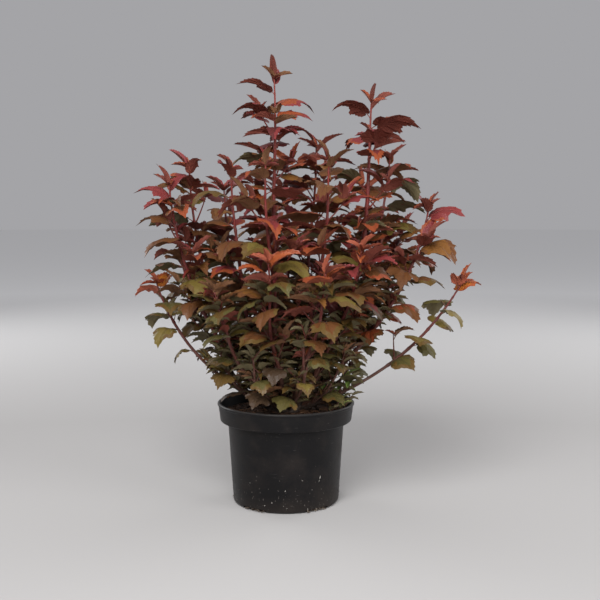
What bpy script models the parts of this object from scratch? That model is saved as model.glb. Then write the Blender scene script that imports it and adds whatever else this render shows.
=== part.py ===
"""Ninebark shrub in its round nursery pot.

The pot is filled with soil. A short woody stool stands on the soil with a flat cut. Canes rise
from its stubs, each one tapering bough that ends where it meets its own mass of foliage. A mass is
a three-sided stem with side twigs and leaves, fused to one closed body. Short skirt shoots with no
bough fill the crown's foot over the rim.

Units are metres and +Z is up. The origin is the middle of the pot's flat underside. Azimuths are
degrees about +Z, from +X towards +Y, and the crown's front faces -Y.
"""
import math
import random
from typing import NamedTuple

import bmesh
import bpy
from mathutils import Matrix, Vector, noise
from mathutils.bvhtree import BVHTree
from mathutils.kdtree import KDTree

# Pot
POT_HEIGHT = 0.1975
RIM_RADIUS = 0.135
BASE_RADIUS = 0.1045
WALL = 0.003
COLLAR_DEPTH = 0.036
COLLAR_TAPER = 0.0055
COLLAR_STEP = 0.0150
LIP_DEPTH = 0.006
LIP_OUT = 0.0018
FOOT_CHAMFER = 0.004
ROUND_SIDES = 36
DRAIN_COUNT = 5
DRAIN_FIRST = 18
DRAIN_WIDTH = 0.054
DRAIN_DEPTH = 0.009
DRAIN_HEIGHT = 0.006
DRAIN_SHOULDER = 0.5
DRAIN_CROWN = 0.85

# Soil: it stands below the rim, and rises inwards over rings at shares of radius and mound
SOIL_DROP = 0.019
SOIL_MOUND = 0.003
SOIL_RINGS = ((0.86, 0.3), (0.68, 0.6))
SOIL_BUMP = 0.0022
SOIL_BUMP_SCALE = 45
STOOL_SEAT = 0.048

# Clear space between neighbours, and between a leaf and whatever it must not touch
GAP = 0.0003
LEAF_CLEAR = 0.0010

# Stool
KNOB_RADIUS = 0.034
KNOB_HEIGHT = 0.026
KNOB_PROFILE = ((0, 1.0), (0.35, 1.04), (0.7, 0.82), (0.93, 0.45))
KNOB_SIDES = 14
KNOB_BUMP = 0.35
KNOB_BUMP_SCALE = 60
STUB_LENGTH = 0.046
STUB_FATTEN = 1.04
FOOT_LIFT = 0.007
FOOT_INNER = 0.008
FOOT_SPREAD = 0.082

# Canes
CURVE_HANDLE = 0.38
CURVE_STEPS = 40
DENSE_STEPS = 160
CANE_SWAY = 0.006
SWAY_TURN = 7
TIP_RADIUS = 0.0013
TAPER_POWER = 0.8
LIMB_SIDES = 5
LIMB_STEP = 0.045
STEM_SIDES = 3
STEM_STEP = 0.085
STEM_FATTEN = 1.25

# How leaves are set on a shoot. A value ending in TIP holds at the shoot's tip, and its partner
# from LEAF_GROWN_AT back. A pair ending in VARY bounds a random factor, or a random turn in radians.
LEAF_TURN = math.radians(144)
LEAF_FIRST = 0.001
LEAF_GROWN_AT = 0.045
LEAF_SPACING_TIP = 0.012
LEAF_SPACING = 0.027
SPACING_VARY = (0.9, 1.1)
LEAF_LENGTH_TIP = 0.048
LEAF_LENGTH = 0.098
LENGTH_VARY = (0.84, 1.08)
LEAF_RISE_TIP = math.radians(66)
LEAF_RISE = math.radians(24)
RISE_VARY = (-0.15, 0.20)
LEAF_DROOP_TIP = math.radians(30)
LEAF_DROOP = math.radians(-34)
DROOP_VARY = (-0.26, 0.26)
ROLL_VARY = (-0.45, 0.45)
LEAF_LOWEST = 0.006
LEAF_BARE = 0.012

# How far a leaf or twig turns to where its shoot points, and out from the crown's axis
ALONG_PULL = 0.5
OUTWARD_PULL = 0.45
AXIS_RADIUS = 0.02

# A leaf's shape, as shares of its length or width
LEAF_WAIST = 0.55
LEAF_KEEL = 0.32
LEAF_HALF_WIDTH = 0.29
LEAF_THICKNESS = 0.030
LEAF_SAG = 0.40

# Side twigs
TWIG_FIRST = 0.110
TWIG_SPACING = 0.082
TWIG_SPACING_VARY = (0.85, 1.15)
TWIG_LAST = 0.02
TWIG_LENGTH = 0.075
TWIG_LENGTH_VARY = (0.75, 1.2)
TWIG_RISE = math.radians(42)
TWIG_UPTURN = 0.5
TWIG_TURN = 1.5
TWIG_BARE = 0.024
TWIG_LEAF_TURN = 1.0
TWIG_STEPS = 8
TWIG_RADIUS = 0.0013
TWIG_TAPER = 1.4

# The last share of a limb's straight run at which a leaf or twig may spring from it
SEAT_LAST = 0.995

# The order in which leaves are placed: by distance from the tip, twigs a little later
TWIG_ORDER = (0.02, 0.5)

# Fitting a leaf or twig into the room left: the share at its root that may meet its own mass, the
# turns and lifts tried in radians, and how far its own space laps over its neighbour's
ROOT_SHARE = 0.24
LEAF_TRIES = ((0, 0), (0.35, 0.1), (-0.35, 0.1), (0.7, 0.25), (-0.7, 0.25), (1.1, 0), (-1.1, 0))
SPACE_TOLERANCE = 0.022
SPACE_POINT = 0.3

# Edges shorter than this are closed up where pieces of a mass have been fused
SCRAP_LENGTH = 2e-6

# The first cane's random seed; each later cane takes the next
SEED = 29


class Cane(NamedTuple):
    """One cane: where its tip is, how it leaves the stool and arrives, and how thick it starts."""
    name: str
    azimuth: float
    reach: float
    height: float
    start_rise: float
    end_rise: float
    girth: float
    bare: float
    turn: float


# name, azimuth of the tip, reach of the tip from the pot's axis, height of the tip, rise at the
# stool and at the tip in degrees, radius at the foot, bare share of the length, first leaf's azimuth
CANES = (
    Cane("cane_01", 138, 0.030, 0.826, 84, 88, 0.0050, 0.30, 288),
    Cane("cane_02", -14, 0.167, 0.773, 52, 88, 0.0054, 0.28, 252),
    Cane("cane_03", 20, 0.222, 0.674, 55, 84, 0.0042, 0.26, 340),
    Cane("cane_04", -3, 0.277, 0.578, 46, 80, 0.0040, 0.26, 72),
    Cane("cane_05", -12, 0.340, 0.436, 22, 60, 0.0036, 0.40, 72),
    Cane("cane_06", 30, 0.280, 0.528, 46, 72, 0.0036, 0.26, 30),
    Cane("cane_07", 63, 0.134, 0.700, 68, 88, 0.0042, 0.28, 200),
    Cane("cane_08", -51, 0.128, 0.662, 68, 87, 0.0042, 0.28, 170),
    Cane("cane_09", 171, 0.193, 0.654, 55, 88, 0.0042, 0.26, 180),
    Cane("cane_10", -165, 0.226, 0.619, 47, 84, 0.0042, 0.26, 252),
    Cane("cane_11", -174, 0.250, 0.432, 26, 72, 0.0036, 0.42, 252),
    Cane("cane_12", -138, 0.134, 0.644, 62, 88, 0.0040, 0.28, 120),
    Cane("cane_13", 138, 0.173, 0.612, 58, 85, 0.0040, 0.26, 210),
    Cane("cane_14", -103, 0.150, 0.652, 68, 88, 0.0042, 0.28, 300),
    Cane("cane_15", -98, 0.200, 0.480, 48, 72, 0.0036, 0.24, 250),
    Cane("cane_16", -70, 0.212, 0.462, 46, 70, 0.0036, 0.24, 290),
    Cane("cane_17", -46, 0.200, 0.500, 50, 76, 0.0036, 0.24, 320),
    Cane("cane_18", 90, 0.206, 0.615, 56, 82, 0.0040, 0.26, 70),
    Cane("cane_19", 52, 0.245, 0.505, 44, 74, 0.0036, 0.26, 40),
    Cane("cane_20", 156, 0.232, 0.455, 36, 76, 0.0036, 0.28, 160),
    Cane("cane_21", 70, 0.262, 0.405, 26, 64, 0.0034, 0.26, 80),
    Cane("cane_22", 116, 0.262, 0.425, 32, 68, 0.0034, 0.26, 110),
    Cane("cane_23", -132, 0.190, 0.425, 40, 76, 0.0036, 0.28, 220),
)
SKIRT_COUNT = 9
SKIRT_FIRST = -116
SKIRT_REACH = (0.136, 0.156)
SKIRT_HEIGHT = (0.300, 0.345)
SKIRT_START_RISE = 12
SKIRT_END_RISE = 76
SKIRT_GIRTH = 0.0030

# Linear colours and roughness
POT_COLOUR = (0.012, 0.012, 0.013)
SOIL_COLOUR = (0.050, 0.028, 0.018)
BARK_COLOUR = (0.120, 0.030, 0.025)
STOOL_COLOUR = (0.100, 0.055, 0.038)
LEAF_COLOURS = ((0.045, 0.050, 0.016), (0.105, 0.042, 0.022), (0.150, 0.028, 0.020))
LEAF_COLOUR_HEIGHTS = (0.46, 0.60)
POT_ROUGHNESS = 0.42
SOIL_ROUGHNESS = 0.95
BARK_ROUGHNESS = 0.6
STOOL_ROUGHNESS = 0.85
LEAF_ROUGHNESS = 0.55

SOIL_TOP = POT_HEIGHT - SOIL_DROP


def skirt_canes():
    """The short shoots over the rim, evenly turned, alternately lower and higher."""
    shoots = []
    for i in range(SKIRT_COUNT):
        azimuth = SKIRT_FIRST + 360 * i / SKIRT_COUNT
        shoots.append(Cane(
            f"skirt_{i + 1}", azimuth, SKIRT_REACH[i % 2], SKIRT_HEIGHT[i % 2],
            SKIRT_START_RISE, SKIRT_END_RISE, SKIRT_GIRTH, 0.0, azimuth))
    return shoots


# Scene and mesh helpers

def clear_scene():
    for obj in list(bpy.data.objects):
        bpy.data.objects.remove(obj, do_unlink=True)


def new_object(name, mesh):
    obj = bpy.data.objects.new(name, mesh)
    bpy.context.scene.collection.objects.link(obj)
    return obj


def finish(obj, colour, roughness):
    """Give the object a material of its own."""
    material = bpy.data.materials.new(obj.name)
    material.use_nodes = True
    shader = material.node_tree.nodes["Principled BSDF"]
    shader.inputs["Base Color"].default_value = (*colour, 1.0)
    shader.inputs["Roughness"].default_value = roughness
    shader.inputs["Metallic"].default_value = 0.0
    obj.data.materials.clear()
    obj.data.materials.append(material)


def closed_loft(rings):
    """Vertices and faces of a closed body through rings of points; a ring of one point is a pole."""
    verts = []
    starts = []
    for ring in rings:
        starts.append(len(verts))
        verts.extend(ring)
    faces = []
    for k in range(len(rings) - 1):
        a, b = rings[k], rings[k + 1]
        sides = max(len(a), len(b))
        for i in range(sides):
            j = (i + 1) % sides
            low = starts[k]
            high = starts[k + 1]
            if len(a) == 1:
                faces.append((low, high + j, high + i))
            elif len(b) == 1:
                faces.append((low + i, low + j, high))
            else:
                faces.append((low + i, low + j, high + j))
                faces.append((low + i, high + j, high + i))
    if len(rings[0]) > 1:
        faces.append(tuple(reversed(range(starts[0], starts[0] + len(rings[0])))))
    if len(rings[-1]) > 1:
        faces.append(tuple(range(starts[-1], starts[-1] + len(rings[-1]))))
    return verts, faces


def mesh_from(name, verts, faces):
    mesh = bpy.data.meshes.new(name)
    mesh.from_pydata(verts, [], faces)
    mesh.update()
    return mesh


def circle(radius, height, sides=ROUND_SIDES):
    if radius == 0:
        return [Vector((0, 0, height))]
    turns = (2 * math.pi * i / sides for i in range(sides))
    return [Vector((radius * math.cos(a), radius * math.sin(a), height)) for a in turns]


def turned_body(name, profile):
    """A body turned about Z from (radius, height) points that start and end on the axis."""
    verts, faces = closed_loft([circle(r, z) for r, z in profile])
    return new_object(name, mesh_from(name, verts, faces))


def settle(obj):
    """Replace the object's mesh by the one its modifiers give, and drop the modifiers."""
    depsgraph = bpy.context.evaluated_depsgraph_get()
    settled = bpy.data.meshes.new_from_object(obj.evaluated_get(depsgraph))
    old = obj.data
    obj.modifiers.clear()
    obj.data = settled
    bpy.data.meshes.remove(old)


# Pot and soil

def wall_radius(height):
    """The outer radius of the pot's body below its collar."""
    collar_foot = POT_HEIGHT - COLLAR_DEPTH
    body_top = RIM_RADIUS - COLLAR_TAPER - COLLAR_STEP
    return BASE_RADIUS + (body_top - BASE_RADIUS) * height / collar_foot


def make_pot():
    """A thin wall with a stepped-out collar, a lip at its edge and drain slots round its foot."""
    collar_foot = POT_HEIGHT - COLLAR_DEPTH
    shoulder = collar_foot + WALL
    lip_foot = POT_HEIGHT - LIP_DEPTH
    collar_low = RIM_RADIUS - COLLAR_TAPER
    collar_high = RIM_RADIUS - LIP_OUT
    profile = [
        (0, 0),
        (BASE_RADIUS - FOOT_CHAMFER, 0),
        (BASE_RADIUS, FOOT_CHAMFER),
        (wall_radius(collar_foot), collar_foot),
        (collar_low - WALL / 2, collar_foot),
        (collar_low, collar_foot + WALL / 2),
        (collar_high, lip_foot),
        (RIM_RADIUS, lip_foot + LIP_OUT),
        (RIM_RADIUS, POT_HEIGHT - LIP_OUT),
        (RIM_RADIUS - LIP_OUT, POT_HEIGHT),
        (collar_high - WALL, POT_HEIGHT),
        (collar_low - WALL, shoulder),
        (wall_radius(shoulder) - WALL, shoulder),
        (wall_radius(WALL) - WALL, WALL),
        (0, WALL),
    ]
    pot = turned_body("pot", profile)
    verts = []
    faces = []
    for i in range(DRAIN_COUNT):
        turn = math.radians(DRAIN_FIRST + 360 * i / DRAIN_COUNT)
        slot_verts, slot_faces = drain_slot(turn)
        faces.extend(tuple(n + len(verts) for n in face) for face in slot_faces)
        verts.extend(slot_verts)
    cutter = new_object("drain_cutter", mesh_from("drain_cutter", verts, faces))
    cutter.hide_render = True
    cutter.display_type = "WIRE"
    cut = pot.modifiers.new("drain slots", "BOOLEAN")
    cut.operation = "DIFFERENCE"
    cut.object = cutter
    cut.solver = "EXACT"
    settle(pot)
    bpy.data.objects.remove(cutter, do_unlink=True)
    finish(pot, POT_COLOUR, POT_ROUGHNESS)
    return pot


def drain_slot(turn):
    """A flat-arched bar that cuts the outer edge of the foot away at the angle turn."""
    half = DRAIN_WIDTH / 2
    shoulder = DRAIN_HEIGHT * DRAIN_SHOULDER
    crown = half * DRAIN_CROWN
    outline = ((-half, -WALL), (half, -WALL), (half, shoulder), (crown, DRAIN_HEIGHT),
               (-crown, DRAIN_HEIGHT), (-half, shoulder))
    out = Vector((math.cos(turn), math.sin(turn), 0))
    along = Vector((-math.sin(turn), math.cos(turn), 0))
    rings = []
    for radius in (BASE_RADIUS - DRAIN_DEPTH, BASE_RADIUS + WALL):
        rings.append([out * radius + along * x + Vector((0, 0, z)) for x, z in outline])
    return closed_loft(rings)


def make_soil():
    """The root ball and soil that fill the pot, with a level seat in the middle for the stool."""
    shoulder = POT_HEIGHT - COLLAR_DEPTH + WALL
    edge = SOIL_TOP - SOIL_MOUND
    collar_inside = RIM_RADIUS - COLLAR_TAPER - WALL
    profile = [
        (0, WALL + GAP),
        (wall_radius(WALL) - WALL - GAP, WALL + GAP),
        (wall_radius(shoulder) - WALL - GAP, shoulder + GAP),
        (collar_inside - GAP, shoulder + GAP),
        (collar_inside - GAP, edge),
        *((collar_inside * radius, edge + SOIL_MOUND * rise) for radius, rise in SOIL_RINGS),
        (STOOL_SEAT, SOIL_TOP),
        (0, SOIL_TOP),
    ]
    soil = turned_body("soil", profile)
    for vertex in soil.data.vertices:
        radius = vertex.co.to_2d().length
        if vertex.co.z >= edge and STOOL_SEAT + GAP < radius < collar_inside - 2 * GAP:
            vertex.co.z += SOIL_BUMP * noise.noise(vertex.co * SOIL_BUMP_SCALE)
    finish(soil, SOIL_COLOUR, SOIL_ROUGHNESS)
    return soil


# Canes and the rule by which they grow

def heading(azimuth, rise):
    return Vector((math.cos(azimuth) * math.cos(rise), math.sin(azimuth) * math.cos(rise),
                   math.sin(rise)))


def cane_curve(cane, seed):
    """Points along a cane at even steps of its length: a cubic arc with a slight sway."""
    azimuth = math.radians(cane.azimuth)
    outward = heading(azimuth, 0)
    foot = outward * (FOOT_INNER + FOOT_SPREAD * cane.reach)
    foot.z = SOIL_TOP + FOOT_LIFT
    tip = outward * cane.reach + Vector((0, 0, cane.height))
    handle = (tip - foot).length * CURVE_HANDLE
    leave = foot + heading(azimuth, math.radians(cane.start_rise)) * handle
    arrive = tip - heading(azimuth, math.radians(cane.end_rise)) * handle
    across = Vector((-outward.y, outward.x, 0))
    phase = random.Random(seed).uniform(0, 2 * math.pi)
    dense = []
    for k in range(DENSE_STEPS + 1):
        t = k / DENSE_STEPS
        s = 1 - t
        point = foot * s**3 + leave * 3 * s * s * t + arrive * 3 * s * t * t + tip * t**3
        sway = CANE_SWAY * math.sin(phase + SWAY_TURN * t) * 4 * t * s
        dense.append(point + across * sway)
    return even_points(dense, CURVE_STEPS)


def even_points(points, steps):
    """The polyline's points respaced to an even step."""
    marks = [0.0]
    for a, b in zip(points, points[1:]):
        marks.append(marks[-1] + (b - a).length)
    spaced = []
    k = 0
    for i in range(steps + 1):
        target = marks[-1] * i / steps
        while k < len(marks) - 2 and marks[k + 1] < target:
            k += 1
        share = (target - marks[k]) / (marks[k + 1] - marks[k])
        spaced.append(points[k].lerp(points[k + 1], share))
    return spaced


def length_of(curve):
    return (curve[1] - curve[0]).length * (len(curve) - 1)


def point_at(curve, distance):
    """Place and direction at a distance along a curve of even steps."""
    step = (curve[1] - curve[0]).length
    k = min(max(int(distance / step), 0), len(curve) - 2)
    share = distance / step - k
    return curve[k].lerp(curve[k + 1], share), (curve[k + 1] - curve[k]).normalized()


def radius_at(cane, share):
    return TIP_RADIUS + (cane.girth - TIP_RADIUS) * max(1 - share, 0) ** TAPER_POWER


class Leaf(NamedTuple):
    """Where one leaf springs from its stem, the way it points, and its shape."""
    base: Vector
    outward: Vector
    length: float
    rise: float
    droop: float
    roll: float
    order: float


def blend(tip_value, grown_value, distance):
    return tip_value + (grown_value - tip_value) * min(distance / LEAF_GROWN_AT, 1.0)


def level(vector):
    return Vector((vector.x, vector.y, 0))


def side_heading(base, along, turn):
    """The level direction in which a leaf or twig leaves a shoot at the azimuth turn."""
    outward = heading(turn, 0) + level(along) * ALONG_PULL
    if level(base).length > AXIS_RADIUS:
        outward += level(base).normalized() * OUTWARD_PULL
    return outward.normalized()


def leaf_on(curve, distance, turn, order, chance):
    """The leaf that a shoot bears at a distance back from its tip, held clear of the pot."""
    base, along = point_at(curve, length_of(curve) - distance)
    length = blend(LEAF_LENGTH_TIP, LEAF_LENGTH, distance) * chance.uniform(*LENGTH_VARY)
    rise = blend(LEAF_RISE_TIP, LEAF_RISE, distance) + chance.uniform(*RISE_VARY)
    droop = blend(LEAF_DROOP_TIP, LEAF_DROOP, distance) + chance.uniform(*DROOP_VARY)
    roll = chance.uniform(*ROLL_VARY)
    waist_height = base.z + length * LEAF_WAIST * math.sin(rise)
    steepest = (POT_HEIGHT + LEAF_LOWEST - waist_height) / (length * (1 - LEAF_WAIST))
    droop = max(droop, math.asin(min(max(steepest, -1.0), 1.0)))
    return Leaf(base, side_heading(base, along, turn), length, rise, droop, roll, order)


def leaves_along(curve, bare, turn, order, chance):
    """Leaves from the tip back to where the shoot is bare, a fixed turn apart."""
    leaves = []
    distance = LEAF_FIRST
    while distance < length_of(curve) - bare:
        leaves.append(leaf_on(curve, distance, turn, order + distance, chance))
        spacing = blend(LEAF_SPACING_TIP, LEAF_SPACING, distance)
        distance += spacing * chance.uniform(*SPACING_VARY)
        turn += LEAF_TURN
    return leaves


def twig_curve(curve, distance, turn, chance):
    """A side twig that leaves the stem and bends upwards."""
    base, along = point_at(curve, length_of(curve) - distance)
    side = side_heading(base, along, turn)
    half = TWIG_LENGTH * chance.uniform(*TWIG_LENGTH_VARY) / 2
    first = side * math.cos(TWIG_RISE) + Vector((0, 0, math.sin(TWIG_RISE)))
    second = (first + Vector((0, 0, TWIG_UPTURN))).normalized()
    knee = base + first * half
    return even_points([base, knee, knee + second * half], TWIG_STEPS)


class Growth(NamedTuple):
    """A whole cane: its curve, where its mass starts, its twigs and the leaves on each."""
    cane: Cane
    curve: list
    start: float
    stem_leaves: list
    twigs: list


def grow(cane, seed):
    """Grow one cane by the rule: leaves up the stem, and side twigs with leaves of their own."""
    chance = random.Random(seed)
    curve = cane_curve(cane, seed)
    start = max(cane.bare * length_of(curve), STUB_LENGTH) + GAP
    turn = math.radians(cane.turn)
    stem_leaves = leaves_along(curve, start + LEAF_BARE, turn, 0.0, chance)
    twigs = []
    distance = TWIG_FIRST
    while distance < length_of(curve) - start - TWIG_LAST:
        turn += LEAF_TURN * TWIG_TURN
        twig = twig_curve(curve, distance, turn, chance)
        order = TWIG_ORDER[0] + TWIG_ORDER[1] * distance
        twig_leaves = leaves_along(twig, TWIG_BARE, turn + TWIG_LEAF_TURN, order, chance)
        twigs.append((twig, twig_leaves))
        distance += TWIG_SPACING * chance.uniform(*TWIG_SPACING_VARY)
    return Growth(cane, curve, start, stem_leaves, twigs)


# Solid limbs and leaves

def tube(path, radii, sides):
    """Vertices and faces of a closed tapering limb along a path of places and directions."""
    rings = []
    side = None
    for (point, along), radius in zip(path, radii):
        if side is None:
            side = along.orthogonal().normalized()
        side = (side - along * side.dot(along)).normalized()
        other = along.cross(side)
        ring = []
        for i in range(sides):
            angle = 2 * math.pi * i / sides
            ring.append(point + (side * math.cos(angle) + other * math.sin(angle)) * radius)
        rings.append(ring)
    return closed_loft(rings)


def stretch(curve, start, end, step):
    """Places and directions along a curve from start to end, at most a step apart."""
    count = max(2, math.ceil((end - start) / step) + 1)
    return [point_at(curve, start + (end - start) * i / (count - 1)) for i in range(count)]


def limb(cane, curve, start, end, sides, step, fatten=1.0):
    path = stretch(curve, start, end, step)
    whole = length_of(curve)
    span = (end - start) / (len(path) - 1)
    radii = [radius_at(cane, (start + span * i) / whole) * fatten for i in range(len(path))]
    return tube(path, radii, sides)


def seated(point, path):
    """The place nearest to a point on the straight runs between a path's places."""
    best = None
    for (a, _), (b, _) in zip(path, path[1:]):
        share = (point - a).dot(b - a) / (b - a).length_squared
        near = a.lerp(b, min(max(share, 0.0), SEAT_LAST))
        if best is None or (point - near).length < (point - best).length:
            best = near
    return best


def twig_solid(root, tip, grow_by):
    """A straight three-sided twig; grow_by gives the larger body that tests its room."""
    along = (tip - root).normalized()
    radii = [TWIG_RADIUS * TWIG_TAPER + grow_by, TWIG_RADIUS + grow_by]
    return tube([(root, along), (tip, along)], radii, STEM_SIDES)


def leaf_frame(leaf):
    """Waist, tip, side and upper normal of a leaf that rises on its stalk and then droops."""
    up = Vector((0, 0, 1))
    first = leaf.outward * math.cos(leaf.rise) + up * math.sin(leaf.rise)
    second = leaf.outward * math.cos(leaf.droop) + up * math.sin(leaf.droop)
    waist = leaf.base + first * leaf.length * LEAF_WAIST
    tip = waist + second * leaf.length * (1 - LEAF_WAIST)
    across = leaf.outward.cross(up).normalized()
    normal = across.cross((tip - leaf.base).normalized()).normalized()
    side = across * math.cos(leaf.roll) + normal * math.sin(leaf.roll)
    return first, waist, tip, side, normal


def leaf_solid(leaf, grow_by=0.0, from_share=0.0):
    """A leaf of eight faces. grow_by and from_share give the larger body that tests its room."""
    first, waist, tip, side, normal = leaf_frame(leaf)
    half_width = leaf.length * LEAF_HALF_WIDTH + grow_by
    half_thick = leaf.length * LEAF_THICKNESS / 2 + grow_by
    root = leaf.base + (waist - leaf.base) * from_share
    end = tip + (tip - waist).normalized() * grow_by
    keel = leaf.base + first * leaf.length * LEAF_KEEL
    sag = normal * half_width * LEAF_SAG
    ridge = keel.lerp(waist, from_share * 2)
    left = waist + side * half_width - sag
    right = waist - side * half_width - sag
    verts = [root, end, left, right, ridge + normal * half_thick, ridge - normal * half_thick]
    faces = [(0, 4, 2), (2, 4, 1), (1, 4, 3), (3, 4, 0), (0, 2, 5), (2, 1, 5), (1, 3, 5), (3, 0, 5)]
    return verts, faces


def extent(body):
    """The lowest and highest corners of a body's box."""
    verts = body[0]
    low = Vector(min(v[i] for v in verts) for i in range(3))
    high = Vector(max(v[i] for v in verts) for i in range(3))
    return low, high


class Room:
    """What is already placed, and the test that a new leaf or twig keeps clear of it."""

    def __init__(self):
        self.placed = []

    def add(self, body, owner=None):
        """Place a body; owner is the number of the cane whose mass it belongs to."""
        self.placed.append((*extent(body), BVHTree.FromPolygons(*body), owner))

    def is_free(self, body, own=None):
        """True where the body meets nothing placed, apart from what belongs to the cane own."""
        low, high = extent(body)
        tree = BVHTree.FromPolygons(*body)
        for other_low, other_high, other, owner in self.placed:
            if own is not None and owner == own:
                continue
            apart = any(low[i] > other_high[i] or high[i] < other_low[i] for i in range(3))
            if not apart and tree.overlap(other):
                return False
        return True


def space_tree(growths):
    """A search tree over the leafy part of every cane, with each point's cane number."""
    points = []
    for number, growth in enumerate(growths):
        step = (growth.curve[1] - growth.curve[0]).length
        for k, point in enumerate(growth.curve):
            if k * step >= growth.start:
                points.append((point, number))
    tree = KDTree(len(points))
    owners = []
    for index, (point, number) in enumerate(points):
        tree.insert(point, index)
        owners.append(number)
    tree.balance()
    return tree, owners


def keeps_to_space(tree, owners, number, point, tolerance):
    """True where no other cane's foliage is nearer to the point than its own, within tolerance."""
    _, index, nearest = tree.find(point)
    if owners[index] == number:
        return True
    for _, other_index, distance in tree.find_range(point, nearest + tolerance):
        if owners[other_index] == number:
            return True
    return False


def fuse(name, body, pieces):
    """One closed body from a stem and the pieces that spring from it."""
    obj = new_object(name, mesh_from(name, *body))
    group = bpy.data.collections.new(name + "_pieces")
    bpy.context.scene.collection.children.link(group)
    for verts, faces in pieces:
        piece = bpy.data.objects.new(name + "_piece", mesh_from(name + "_piece", verts, faces))
        group.objects.link(piece)
    for solver in ("EXACT", "MANIFOLD"):
        join = obj.modifiers.new("fuse", "BOOLEAN")
        join.operation = "UNION"
        join.operand_type = "COLLECTION"
        join.collection = group
        join.solver = solver
        depsgraph = bpy.context.evaluated_depsgraph_get()
        result = bpy.data.meshes.new_from_object(obj.evaluated_get(depsgraph))
        obj.modifiers.clear()
        if keep_largest_shell(result):
            break
    old = obj.data
    obj.data = result
    bpy.data.meshes.remove(old)
    for piece in list(group.objects):
        mesh = piece.data
        bpy.data.objects.remove(piece, do_unlink=True)
        bpy.data.meshes.remove(mesh)
    bpy.data.collections.remove(group)
    return obj


def keep_largest_shell(mesh):
    """Drop scraps and sealed hollows, and say whether what is left is one closed shell."""
    work = bmesh.new()
    work.from_mesh(mesh)
    bmesh.ops.triangulate(work, faces=work.faces)
    bmesh.ops.dissolve_degenerate(work, dist=SCRAP_LENGTH, edges=work.edges)
    shells = []
    unseen = set(work.verts)
    while unseen:
        seed = unseen.pop()
        shell = {seed}
        front = [seed]
        while front:
            vertex = front.pop()
            for edge in vertex.link_edges:
                other = edge.other_vert(vertex)
                if other in unseen:
                    unseen.remove(other)
                    shell.add(other)
                    front.append(other)
        shells.append(shell)
    shells.sort(key=len, reverse=True)
    for shell in shells[1:]:
        bmesh.ops.delete(work, geom=list(shell), context="VERTS")
    bmesh.ops.triangulate(work, faces=work.faces)
    closed = all(edge.is_manifold for edge in work.edges) and len(work.faces) > 0
    work.to_mesh(mesh)
    work.free()
    return closed


# The shrub

def stub(growth):
    """The first stretch of a cane, a little thicker, which belongs to the stool."""
    return limb(growth.cane, growth.curve, 0.0, STUB_LENGTH, LIMB_SIDES, STUB_LENGTH, STUB_FATTEN)


def make_stool(growths):
    """The woody crown: a low knob cut flat at the soil, with a stub for every cane."""
    base = SOIL_TOP + GAP
    rings = []
    for share, radius in KNOB_PROFILE:
        ring = circle(KNOB_RADIUS * radius, base + KNOB_HEIGHT * share, KNOB_SIDES)
        if share > 0:
            ring = [p + level(p) * KNOB_BUMP * noise.noise(p * KNOB_BUMP_SCALE) for p in ring]
        rings.append(ring)
    rings.append([Vector((0, 0, base + KNOB_HEIGHT))])
    pieces = [stub(growth) for growth in growths]
    stool = fuse("stool", closed_loft(rings), pieces)
    finish(stool, STOOL_COLOUR, STOOL_ROUGHNESS)
    return stool


def leaf_colour(height):
    """Olive low in the crown, bronze in the middle and burgundy at its tall tips."""
    low, high = LEAF_COLOUR_HEIGHTS
    if height < low:
        return LEAF_COLOURS[0]
    return LEAF_COLOURS[1] if height < high else LEAF_COLOURS[2]


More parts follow.
